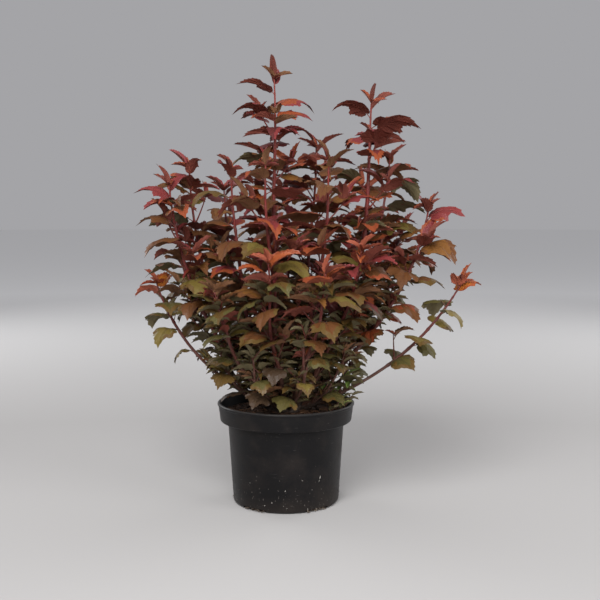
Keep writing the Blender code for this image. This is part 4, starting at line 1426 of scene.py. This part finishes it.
def mixed(tree, share, first, second, kind="MIX"):
    """A colour between two others; share, first and second are fields or plain values."""
    node = tree.nodes.new("ShaderNodeMix")
    node.data_type = "RGBA"
    node.blend_type = kind
    for index, value in ((0, share), (6, first), (7, second)):
        socket = node.inputs[index]
        if isinstance(value, bpy.types.NodeSocket):
            tree.links.new(value, socket)
        else:
            socket.default_value = (*value, 1.0) if isinstance(value, tuple) else value
    return node.outputs[2]


def leaf_material(name, colour, roughness):
    """A leaf's face, smooth to rough in patches, with wide puckers and a fine grain."""
    material, tree, shader = new_material(name, colour, roughness, LEAF_SPECULAR)
    smoothest, roughest = (roughness + change for change in LEAF_ROUGH_SPREAD)
    rough_field(tree, shader, noise_field(tree, 55, detail=2), smoothest, roughest)
    grain = noise_field(tree, 900, detail=2)
    fine = bump_field(tree, shader, grain, strength=0.35, distance=0.0003)
    puckers = noise_field(tree, 230, detail=2)
    bump_field(tree, shader, puckers, strength=0.80, distance=0.0014, under=fine)
    return material


def bark_material(name, stops, streaks=BARK_STREAKS):
    """Bark whose colour runs with height, with streaks up the grain and pale breathing spots."""
    material, tree, shader = new_material(name, stops[0][1], roughness=0.6, specular=0.4)
    grain = noise_field(tree, 1.0, detail=4, rough=0.6, stretch_by=streaks)
    darker = grey_ramp(tree, grain, ((0.35, 0.55), (0.65, 1.0)))
    colour = mixed(tree, 1.0, ramp(tree, height_field(tree), stops), darker, "MULTIPLY")
    spots = grey_ramp(tree, noise_field(tree, 90), ((0.50, 0.0), (0.70, 0.35)))
    colour = mixed(tree, spots, colour, BARK_SPOTS)
    tree.links.new(colour, shader.inputs["Base Color"])
    rough_field(tree, shader, noise_field(tree, 120, detail=2), low=0.42, high=0.75)
    bump_field(tree, shader, grain, strength=0.5, distance=0.0008)
    return material


def pot_material():
    """Black plastic: dust in clouds and at the foot, a painted rim highlight, flecks and scratches.
    """
    material, tree, shader = new_material("pot_plastic", POT_COLOUR, roughness=0.40, specular=0.17)
    height = height_field(tree)
    cloud = noise_field(tree, 16, detail=6, rough=0.62)
    specks = grey_ramp(tree, noise_field(tree, 420, detail=2), ((0.70, 0.0), (0.76, 0.9)))
    patches = grey_ramp(tree, noise_field(tree, 26), ((0.52, 0.0), (0.66, 1.0)))
    scratches = noise_field(tree, 1.0, detail=2, stretch_by=(40, 40, 900))
    # a painted highlight: the rim's top edge is painted paler, where the lip catches the light
    edge = ((POT_HEIGHT - 0.0012, 0.0), (POT_HEIGHT - 0.0002, 0.30))
    layers = (
        (grey_ramp(tree, cloud, ((0.46, 0.0), (0.74, 0.55))), POT_DUST),
        (grey_ramp(tree, height, ((0.0, 0.55), (0.035, 0.0))), POT_DUST),
        (grey_ramp(tree, height, edge), POT_SCUFF_AND_HIGHLIGHT),
        (mixed(tree, 1.0, specks, patches, "MULTIPLY"), POT_SCUFF_AND_HIGHLIGHT),
        (grey_ramp(tree, scratches, ((0.72, 0.0), (0.76, 0.35))), POT_SCUFF_AND_HIGHLIGHT),
    )
    colour = POT_COLOUR
    for share, shade in layers:
        colour = mixed(tree, share, colour, shade)
    tree.links.new(colour, shader.inputs["Base Color"])
    rough_field(tree, shader, cloud, low=0.30, high=0.52)
    grain = noise_field(tree, 1400, detail=2)
    fine = bump_field(tree, shader, grain, strength=0.25, distance=0.0003)
    bump_field(tree, shader, scratches, strength=0.15, distance=0.0005, under=fine)
    return material


def crumb_material(name, dark, light, scale):
    """Loose matter of two shades: soil, chips or grit."""
    material, tree, shader = new_material(name, dark, CRUMB_ROUGHEST, specular=0.2)
    field = noise_field(tree, scale, detail=5, rough=0.65)
    tree.links.new(ramp(tree, field, ((0.36, dark), (0.66, light))), shader.inputs["Base Color"])
    patches = noise_field(tree, scale * 2, detail=2)
    rough_field(tree, shader, patches, CRUMB_ROUGHEST - 0.15, CRUMB_ROUGHEST)
    grain = noise_field(tree, scale * 6, detail=4, rough=0.7)
    bump_field(tree, shader, grain, strength=0.8, distance=0.0012)
    return material


# Pot

def wall_radius(height):
    """The outer radius of the pot's body below its collar."""
    body_top = RIM_RADIUS - COLLAR_TAPER - COLLAR_STEP
    return BASE_RADIUS + (body_top - BASE_RADIUS) * height / COLLAR_FOOT


def bearings(turn):
    """The level directions out from the pot's axis and along its wall at the angle turn."""
    return (np.array((math.cos(turn), math.sin(turn), 0)),
            np.array((-math.sin(turn), math.cos(turn), 0)))


def lathe(profile, sides):
    """Vertices and triangles of a body turned about Z, from a profile that ends on the axis."""
    angles = even_turns(sides)
    rows = [np.stack((r * np.cos(angles), r * np.sin(angles), np.full(sides, z)), 1)
            for r, z in profile[1:-1]]
    poles = [(0, 0, profile[0][1]), (0, 0, profile[-1][1])]
    return np.vstack((*rows, poles)), capped_faces(len(rows), sides)


def rounded(points, radius):
    """A profile whose corners are rounded off by short arcs, with the ends as they are."""
    points = [np.array(p, float) for p in points]
    out = [points[0]]
    for before, corner, after in zip(points, points[1:], points[2:]):
        back = before - corner
        ahead = after - corner
        before_run, after_run = np.linalg.norm(back), np.linalg.norm(ahead)
        cut = min(radius, before_run / CORNER_ROOM, after_run / CORNER_ROOM)
        start = corner + back / before_run * cut
        end = corner + ahead / after_run * cut
        out.extend(quadratic(start, corner, end, CORNER_STEPS))
    return [tuple(p) for p in (*out, points[-1])]


def settle(obj):
    """Replace the object's mesh by the one its modifiers give, and drop the modifiers."""
    depsgraph = bpy.context.evaluated_depsgraph_get()
    settled = bpy.data.meshes.new_from_object(obj.evaluated_get(depsgraph))
    old = obj.data
    obj.modifiers.clear()
    obj.data = settled
    bpy.data.meshes.remove(old)


def drain_slot(turn):
    """A flat-arched bar that cuts the outer edge of the foot away at the angle turn."""
    half = DRAIN_WIDTH / 2
    foot, top = (half, DRAIN_HEIGHT * DRAIN_SHOULDER), (half * DRAIN_CROWN, DRAIN_HEIGHT)
    arch = quadratic(np.array(foot), np.array((half, DRAIN_HEIGHT)), np.array(top), ARCH_STEPS)
    outline = [(-half, -WALL), (half, -WALL)] + [tuple(p) for p in arch]
    outline += [(-x, z) for x, z in reversed(outline[2:])]
    out, along = map(Vector, bearings(turn))
    return closed_loft([
        [out * radius + along * x + Vector((0, 0, z)) for x, z in outline]
        for radius in (BASE_RADIUS - DRAIN_DEPTH, BASE_RADIUS + WALL)])


def make_pot():
    """A thin wall with a stepped-out collar, a lip at its edge and drain slots round its foot."""
    lip_foot = POT_HEIGHT - LIP_DEPTH
    collar_low = RIM_RADIUS - COLLAR_TAPER
    collar_high = RIM_RADIUS - LIP_OUT
    corners = [
        (0, 0),
        (BASE_RADIUS - FOOT_CHAMFER, 0),
        (BASE_RADIUS, FOOT_CHAMFER),
        (wall_radius(COLLAR_FOOT), COLLAR_FOOT),
        (collar_low - WALL / 2, COLLAR_FOOT),
        (collar_low, COLLAR_FOOT + WALL / 2),
        (collar_high, lip_foot),
        (RIM_RADIUS, lip_foot + LIP_OUT),
        (RIM_RADIUS, POT_HEIGHT - LIP_OUT),
        (RIM_RADIUS - LIP_OUT, POT_HEIGHT),
        (collar_high - WALL, POT_HEIGHT),
        (collar_low - WALL, POT_SHOULDER),
        (wall_radius(POT_SHOULDER) - WALL, POT_SHOULDER),
        (wall_radius(WALL) - WALL, WALL),
        (0, WALL),
    ]
    pot = mesh_object("pot_shell", *lathe(rounded(corners, POT_FILLET), POT_SIDES), pot_material())
    verts, faces = [], []
    for turn in DRAIN_TURNS:
        slot_verts, slot_faces = drain_slot(turn)
        faces.extend(tuple(n + len(verts) for n in face) for face in slot_faces)
        verts.extend(slot_verts)
    mesh = bpy.data.meshes.new("drain_cutter")
    mesh.from_pydata(verts, [], faces)
    cutter = new_object("drain_cutter", mesh)
    cut = pot.modifiers.new("drain slots", "BOOLEAN")
    cut.operation = "DIFFERENCE"
    cut.object = cutter
    cut.solver = "EXACT"
    settle(pot)
    bpy.data.objects.remove(cutter, do_unlink=True)
    bpy.data.meshes.remove(mesh)
    pot.data.set_sharp_from_angle(angle=SHARP_ANGLE)
    return pot


# Soil and what lies on it

def relief_at(place, layers):
    """The height of a relief at a place, from layers of noise given as height and fineness."""
    return sum(height * noise.noise(place * fineness) for height, fineness in layers)


def soil_height(x, y):
    """The soil's top: a low mound, as in the solids, and clods over it."""
    gap = SOIL_RADIUS - math.hypot(x, y)
    mound = SOIL_TOP - SOIL_MOUND + SOIL_MOUND * min(max(gap / (SOIL_RADIUS - STOOL_SEAT), 0), 1)
    return mound + relief_at(Vector((x, y, 0)), CLODS) * min(gap / CLOD_FADE, 1)


def make_soil(material):
    """The root ball that fills the pot, with clods on its top."""
    top = SOIL_RADIUS - GAP
    profile = [
        (0, WALL + GAP),
        (wall_radius(WALL) - WALL - GAP, WALL + GAP),
        (wall_radius(POT_SHOULDER) - WALL - GAP, POT_SHOULDER + GAP),
        (top, POT_SHOULDER + GAP),
        *((top * share, SOIL_TOP) for share in np.linspace(1, SOIL_INNERMOST, SOIL_ROWS)),
        (0, SOIL_TOP),
    ]
    verts, faces = lathe(profile, SOIL_SIDES)
    for vert in verts:
        if vert[2] >= SOIL_TOP - GAP:
            vert[2] = soil_height(vert[0], vert[1])
    return mesh_object("soil_mix", verts, faces, material)


def lump(chance, size, flatness):
    """A rough pebble-like body about the origin, of two crossed rings and its poles."""
    verts = []
    for ring, (height, girth) in enumerate(LUMP_RINGS):
        for i in range(LUMP_SIDES):
            angle = 2 * math.pi * (i + ring / 2) / LUMP_SIDES
            reach = girth * chance.uniform(*LUMP_REACH)
            narrow = chance.uniform(*LUMP_NARROW)
            tall = chance.uniform(*LUMP_TALL)
            verts.append((reach * math.cos(angle), reach * math.sin(angle) * narrow, height * tall))
    verts += [(0, 0, height) for height in LUMP_POLES]
    faces = capped_faces(len(LUMP_RINGS), LUMP_SIDES)
    return np.array(verts) * (size, size, size * flatness), faces


def chip(chance, length):
    """A torn flake of bark: a thin plate with ragged ends, slightly cupped."""
    width = length * chance.uniform(*CHIP_WIDTH)
    thick = length * chance.uniform(*CHIP_THICK)
    cup = length * chance.uniform(*CHIP_CUP)
    top = []
    for x in np.linspace(-0.5, 0.5, CHIP_POINTS):
        half = width / 2 * (1 - 0.5 * abs(2 * x) ** 3) * chance.uniform(*CHIP_EDGE)
        for y in (-half, half):
            ragged = chance.uniform(-1, 1) * length * CHIP_RAGGED
            top.append((x * length + ragged, y, cup * (1 - 4 * x * x)))
    n = len(top)
    faces = [(0, 1, n + 1), (0, n + 1, n), (n - 2, 2 * n - 2, 2 * n - 1), (n - 2, 2 * n - 1, n - 1)]
    for a in range(0, n - 2, 2):
        b, c, d = a + 1, a + 3, a + 2
        faces += [(a, d, c), (a, c, b), (a + n, c + n, d + n), (a + n, b + n, c + n)]
        faces += [(a, a + n, d + n), (a, d + n, d), (b, c, c + n), (b, c + n, b + n)]
    return np.vstack((top, np.array(top) - (0, 0, thick))), np.array(faces)


def strewn(chance, inner, outer):
    """A random place on the soil between two radii."""
    radius = math.sqrt(chance.uniform(inner**2, outer**2))
    angle = chance.uniform(0, 2 * math.pi)
    x, y = radius * math.cos(angle), radius * math.sin(angle)
    return np.array((x, y, soil_height(x, y)))


def turned(verts, chance, tilt):
    spin = Matrix.Rotation(chance.uniform(0, 2 * math.pi), 3, "Z")
    lean = Matrix.Rotation(chance.uniform(-tilt, tilt), 3, "X")
    return verts @ np.array(spin @ lean).T


def make_litter(materials):
    """Clods, chips, leaf bits and pale grains on the soil, inside the rim and off the stool."""
    chance = random.Random(LITTER_SEED)
    pieces = []
    for name, count, sizes, flatness in LITTER:
        sheet = Sheet()
        for _ in range(count):
            size = chance.uniform(*sizes)
            if flatness:
                verts, faces = lump(chance, size, flatness * chance.uniform(*FLATNESS_VARY))
            else:
                verts, faces = chip(chance, size)
            verts = turned(verts, chance, LUMP_TILT if flatness else CHIP_TILT)
            place = strewn(chance, LITTER_INNER, SOIL_RADIUS - LITTER_EDGE - size / 2)
            place[2] += size * LITTER_LIFT
            sheet.add(verts + place, faces)
        pieces.append(sheet.build(name, materials[name], smooth=False))
    return pieces


def on_wall(verts, turn, height, lean=0.0):
    """A body's vertices, pressed flat on the pot's wall at a height and leant along it."""
    out, along = bearings(turn)
    x, y, z = verts.T
    pressed = np.outer(x * CLING_FLATNESS, out) + np.outer(y + z * lean, along)
    return pressed + np.outer(z, (0, 0, 1)) + out * wall_radius(height) + (0, 0, height)


def make_cling(materials):
    """Dirt and grit on the pot's lower wall, and crumbs and fine roots in its drain cuts."""
    chance = random.Random(CLING_SEED)
    pieces = []
    for name, count, sizes, fading in CLING:
        sheet = Sheet()
        for _ in range(count):
            size = chance.uniform(*sizes)
            verts, faces = lump(chance, size, chance.uniform(*CLING_TALL))
            turn = chance.uniform(0, 2 * math.pi)
            height = min(chance.expovariate(1 / fading), CLING_HIGHEST)
            sheet.add(on_wall(verts, turn, FOOT_CHAMFER + size + height), faces)
        if name == "wall_grit":
            for azimuth, height, width, tall in WALL_MARKS:
                verts, faces = lump(chance, 1, 1)
                verts *= (width, width, tall)
                sheet.add(on_wall(verts, math.radians(azimuth), height, MARK_LEAN), faces)
        pieces.append(sheet.build(name, materials[name], smooth=False))
    crumbs, roots = Sheet(), Sheet()
    for turn in DRAIN_TURNS:
        for _ in range(SLOT_CRUMBS):
            crumbs.add(*slot_crumb(chance, *bearings(turn)))
        for _ in range(SLOT_ROOTS):
            roots.add(*slot_root(chance, *bearings(turn)))
    pieces.append(crumbs.build("slot_crumbs", materials["slot_crumbs"], smooth=False))
    pieces.append(roots.build("slot_roots", materials["slot_roots"]))
    return pieces


def slot_crumb(chance, out, along):
    """A crumb in a drain cut, on the ground or held anywhere up to the cut's top."""
    size = chance.uniform(*CRUMB_SIZES)
    verts, faces = lump(chance, size, chance.uniform(*CRUMB_TALL))
    depth = chance.uniform(0, CRUMB_DEPTH) * DRAIN_DEPTH
    side = chance.uniform(-CRUMB_SPREAD, CRUMB_SPREAD) * DRAIN_WIDTH
    place = out * (BASE_RADIUS - depth) + along * side
    place[2] = chance.choice((size, chance.uniform(size, DRAIN_HEIGHT - size * CRUMB_TOP)))
    verts = turned(verts, chance, CRUMB_TILT) + place
    return np.maximum(verts, (-1, -1, CRUMB_LOWEST)), faces


def slot_root(chance, out, along):
    """A root that comes out of a drain cut under its top and bends down to the ground."""
    side = chance.uniform(-ROOT_SPREAD, ROOT_SPREAD) * DRAIN_WIDTH
    start = out * (BASE_RADIUS - DRAIN_DEPTH * ROOT_DEPTH) + along * side
    start[2] = DRAIN_HEIGHT - ROOT_RADIUS
    end = start + out * chance.uniform(*ROOT_REACH)
    end += along * chance.uniform(-ROOT_STRAY, ROOT_STRAY)
    end[2] = ROOT_RADIUS * chance.uniform(*ROOT_LOW)
    knee = (start + end) / 2 + out * ROOT_KNEE[0] + (0, 0, ROOT_KNEE[1])
    points = quadratic(start, knee, end, ROOT_STEPS)
    radii = np.linspace(ROOT_RADIUS, ROOT_RADIUS * ROOT_TAPER, len(points))
    return tube_arrays(points, radii, ROOT_SIDES)


# Wood

def places_on(curve, distances):
    """The places at distances along a curve."""
    last = length_of(curve) - CURVE_END
    return [point_at(curve, min(distance, last))[0] for distance in distances]


def relief_of(points, sides, seed, age):
    """Each vertex's share of a limb's radius: long ridges and small irregular swellings."""
    rows = []
    run = 0.0
    for k, point in enumerate(points):
        run += (point - points[max(k - 1, 0)]).length
        row = []
        for turn in even_turns(sides):
            share = 1.0
            for young, aged, around, along, apart in BARK_RELIEF:
                height = run * along + seed * apart
                place = Vector((math.cos(turn) * around, math.sin(turn) * around, height))
                share += (young + aged * age[k]) * noise.noise(place)
            row.append(share)
        rows.append(row)
    return np.array(rows)


def swollen(radii, distances, nodes):
    """Radii with a small swelling where each leaf or twig springs."""
    radii = np.array(radii)
    for place in nodes:
        radii *= 1 + NODE_SWELL * np.exp(-((distances - place) / NODE_WIDTH) ** 2)
    return radii


def make_cane(growth, number, nodes):
    """Vertices and triangles of a whole cane from inside the stool to its tip."""
    whole = length_of(growth.curve)
    distances = np.linspace(0, whole, int(whole / BARK_STEP) + 1)
    points = places_on(growth.curve, distances)
    shares = distances / whole
    leafy = np.clip((distances - growth.start) / (whole - growth.start), 0, 1)
    fullness = 1 + STEM_FULLNESS * np.sin(leafy * math.pi)
    radii = [radius_at(growth.cane, share) for share in shares] * fullness
    age = np.clip(1 - shares / BARK_AGED, 0, 1)
    sides = BARK_SIDES if growth.cane.bare else SKIRT_SIDES
    relief = relief_of(points, sides, number, age)
    return tube_arrays(points, swollen(radii, distances, nodes), sides, relief)


def make_stool(growths, material):
    """The woody crown: a gnarled knob with a stub for every cane, grown together."""
    sheet = Sheet()
    base = SOIL_TOP + GAP
    rings = [(radius * KNOB_RADIUS, base + KNOB_HEIGHT * share) for share, radius in KNOB_PROFILE]
    sheet.add(*lathe([(0, base), *rings, (0, base + KNOB_HEIGHT)], KNOB_COLUMNS))
    distances = np.linspace(0, STUB_LENGTH, STUB_POINTS)
    flare = 1 + STUB_FLARE * np.exp(-distances / FLARE_LENGTH)
    for growth in growths:
        shares = distances / length_of(growth.curve)
        radii = [radius_at(growth.cane, share) * STUB_FATTEN for share in shares] * flare
        sheet.add(*tube_arrays(places_on(growth.curve, distances), radii, STUB_SIDES))
    stool = sheet.build("stool_wood", material)
    join = stool.modifiers.new("grow together", "REMESH")
    join.mode = "VOXEL"
    join.voxel_size = STOOL_VOXEL
    join.use_smooth_shade = True
    soften = stool.modifiers.new("soften", "SMOOTH")
    soften.factor = SOFTEN_FACTOR
    soften.iterations = SOFTEN_TIMES
    settle(stool)
    mesh = stool.data
    normals = [vertex.normal.copy() for vertex in mesh.vertices]
    for vertex, normal in zip(mesh.vertices, normals):
        if vertex.co.z > base + STOOL_SMOOTH_FOOT:
            vertex.co = vertex.co + normal * relief_at(vertex.co, STOOL_RELIEF)
    if not mesh.materials:
        mesh.materials.append(material)
    return stool


# Foliage

class Foliage:
    """Leaves and stalks, gathered by tint, with the masses that each piece stands for."""

    def __init__(self, names):
        self.names = names
        self.sheets = {name: Sheet() for name in (*TINTS, *UNDERSIDES, *STALK_STOPS)}
        self.numbers = {name: set() for name in self.sheets}

    def add(self, name, number, verts, faces):
        self.sheets[name].add(verts, faces)
        self.numbers[name].add(number)

    def add_leaf(self, placed, base):
        number, leaf, spray = placed
        chance = random.Random(f"blade {leaf.base.x:.5f} {leaf.base.y:.5f} {leaf.length:.5f}")
        blade = Blade(leaf, chance)
        upper, under, faces = blade.sheets()
        name = tint_of(number, leaf, spray)
        tint = TINTS[name]
        flushed = blade.flush(chance)
        if flushed.any():
            margin = tint.margin if leaf.base.z > FLUSH_ABOVE else tint.low_margin
            self.add(margin, number, upper, faces[flushed])
        self.add(name, number, upper, faces[~flushed])
        self.add(tint.underside, number, under, faces[:, ::-1])
        red = tint.underside in RED_UNDERSIDES or leaf.base.z > STALK_RED_ABOVE
        self.add("stalk_red" if red else "stalk_green", number, *blade.stalk(base))

    def build(self):
        for name, sheet in self.sheets.items():
            if not sheet.count:
                continue
            if name in STALK_STOPS:
                material = bark_material(name, STALK_STOPS[name], STALK_STREAKS)
                piece, slot = sheet.build(name + "s", material), "bark"
            else:
                upper = name in TINTS
                label = ("leaf_" if upper else "underside_") + name
                colour, slot = (TINTS[name].colour, TINTS[name].slot) if upper else UNDERSIDES[name]
                roughness = LEAF_ROUGHNESS if upper else UNDERSIDE_ROUGHNESS
                piece = sheet.build(label, leaf_material(label, colour, roughness))
            stand_for(piece, sorted(self.names[n] for n in self.numbers[name]))


def stand_for(piece, nodes):
    """Tie a piece to the frame, and hide the solids that it stands for."""
    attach(piece, "root")
    if nodes:
        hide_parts(*nodes)


def nearest_on(points, place):
    """The place on a polyline nearest to a point."""
    points = np.asarray(points, float)
    place = np.array(place)
    starts, runs = points[:-1], np.diff(points, axis=0)
    shares = np.clip(((place - starts) * runs).sum(1) / (runs**2).sum(1), 0, 1)
    spots = starts + runs * shares[:, None]
    return spots[np.argmin(np.linalg.norm(spots - place, axis=1))]


def cane_lines(growths):
    """Each cane's own curve, by its number, for seating twigs and stalks on."""
    lines = []
    for growth in growths:
        whole = length_of(growth.curve)
        marks = np.linspace(0, whole, int(whole / LINE_STEP) + 1)
        lines.append(np.array(places_on(growth.curve, marks)))
    return lines


def make_twigs(twigs, lines):
    """The side twigs as one sheet, seated on their canes' lines, and their own lines by number."""
    sheet = Sheet()
    twig_lines = {}
    for number, root, end in twigs:
        root, end = np.array(root), np.array(end)
        start = nearest_on(lines[number], root)
        if np.linalg.norm(start - root) > TWIG_SEAT:
            start = root
        length = np.linalg.norm(end - start)
        long = length > TWIG_SHORT
        middle = (start + end) / 2 + (0, 0, -TWIG_BOW * length)
        points = quadratic(start, middle, end, TWIG_SEGMENTS[long])
        twig_lines.setdefault(number, []).append(points)
        radii = np.linspace(TWIG_RADIUS * TWIG_TAPER, TWIG_RADIUS * TWIG_END, len(points))
        radii[0] *= TWIG_COLLAR
        sheet.add(*tube_arrays(points, radii, TWIG_SIDES[long]))
    return sheet, twig_lines


def leaf_nodes(line, whole, seats):
    """How far up a cane its own leaves sit."""
    nodes = set()
    for seat in seats:
        gaps = np.linalg.norm(line - seat, axis=1)
        if gaps.min() < LEAF_SEAT:
            nodes.add(round(float(np.argmin(gaps)) * whole / (len(line) - 1), NODE_DIGITS))
    return sorted(nodes)


def dress(crown):
    """Every leaf, stalk, twig and cane of the crown."""
    names = [growth.cane.name.replace("cane", "leaves") for growth in crown.growths]
    lines = cane_lines(crown.growths)
    twig_sheet, twig_lines = make_twigs(crown.twigs, lines)
    foliage = Foliage(names)
    seats = [[] for _ in lines]
    for placed in crown.leaves:
        base = np.array(placed.leaf.base)
        spots = [nearest_on(line, base)
                 for line in (lines[placed.number], *twig_lines.get(placed.number, ()))]
        seat = min(spots, key=lambda spot: np.linalg.norm(spot - base))
        seats[placed.number].append(seat)
        foliage.add_leaf(placed, seat)
    foliage.build()
    bark = bark_material("cane_bark", BARK_STOPS)
    twigs = twig_sheet.build("side_twigs", bark_material("twig_bark", TWIG_STOPS))
    stand_for(twigs, [names[n] for n in sorted(twig_lines)])
    skirts = Sheet()
    for number, growth in enumerate(crown.growths):
        nodes = leaf_nodes(lines[number], length_of(growth.curve), seats[number])
        verts, faces = make_cane(growth, number, nodes)
        if growth.cane.bare:
            piece = mesh_object(growth.cane.name + "_bark", verts, faces, bark)
            stand_for(piece, [growth.cane.name, names[number]])
        else:
            skirts.add(verts, faces)
    stand_for(skirts.build("skirt_shoots", bark), names[len(CANES):])


# Stage

def make_stage():
    """A wide matt floor that pales with distance: painted light where the lamps hardly reach."""
    edge = [(0, 0), (FLOOR_RADIUS, 0), (FLOOR_RADIUS, -FLOOR_DEPTH), (0, -FLOOR_DEPTH)]
    verts, faces = lathe(edge, FLOOR_SIDES)
    verts[:, 2] -= FLOOR_GAP
    material, tree, shader = new_material("floor_grey", FLOOR_COLOUR, roughness=0.85, specular=0.0)
    reach = tree.nodes.new("ShaderNodeTexGradient")
    reach.gradient_type = "SPHERICAL"
    near, far = FLOOR_PAINTED_LIGHT_SPAN
    tree.links.new(placed_coordinates(tree, (1 / far,) * 3), reach.inputs["Vector"])
    # painted light: grey near the plant, paling to the far colour where the lamps hardly reach
    stops = ((0.0, FLOOR_FAR_PAINTED_LIGHT), (1 - near / far, FLOOR_COLOUR))
    tree.links.new(ramp(tree, reach.outputs["Color"], stops), shader.inputs["Base Color"])
    rough_field(tree, shader, noise_field(tree, 3), low=0.8, high=0.95)
    floor = mesh_object("floor", verts, faces[:, ::-1], material, smooth=False)
    floor.location = FLOOR_MIDDLE


def make_light(name, place, target, size, power):
    data = bpy.data.lights.new(name, "AREA")
    data.shape = "DISK"
    data.size = size
    data.energy = power
    light = new_object(name, data)
    light.location = place
    light.rotation_euler = (Vector(target) - Vector(place)).to_track_quat("-Z", "Y").to_euler()


def make_camera():
    data = bpy.data.cameras.new("camera")
    data.lens = CAMERA_LENS
    data.sensor_width = CAMERA_SENSOR
    data.dof.use_dof = False
    camera = new_object("camera", data)
    camera.location = CAMERA_PLACE
    camera.rotation_euler = (math.radians(90 - CAMERA_TILT), 0, 0)
    bpy.context.scene.camera = camera


def make_world():
    world = bpy.data.worlds.new("studio")
    world.use_nodes = True
    background = world.node_tree.nodes["Background"]
    background.inputs["Color"].default_value = (*WORLD_COLOUR, 1.0)
    background.inputs["Strength"].default_value = WORLD_STRENGTH
    bpy.context.scene.world = world
    bpy.context.scene.view_settings.view_transform = "Standard"


def main():
    stand_for(make_pot(), ["pot"])
    soil = crumb_material("soil_mix", SOIL_DARK, SOIL_LIGHT, SOIL_GRAIN)
    stand_for(make_soil(soil), ["soil"])
    litter = {name: crumb_material(name, *shades) for name, shades in LITTER_SHADES.items()}
    for piece in make_litter(litter) + make_cling(litter):
        stand_for(piece, [])
    growths = [grow(cane, SEED + number) for number, cane in enumerate(CANES + skirt_canes())]
    stool = make_stool(growths, bark_material("stool_bark", STOOL_STOPS, STOOL_STREAKS))
    stand_for(stool, ["stool"])
    crown = Crown(growths, [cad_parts[name] for name in ("pot", "soil")])
    crown.place_limbs()
    crown.place_twigs()
    crown.place_leaves()
    crown.place_spears()
    crown.place_sprays()
    dress(crown)
    make_stage()
    for light in LIGHTS:
        make_light(*light)
    make_world()
    make_camera()


main()
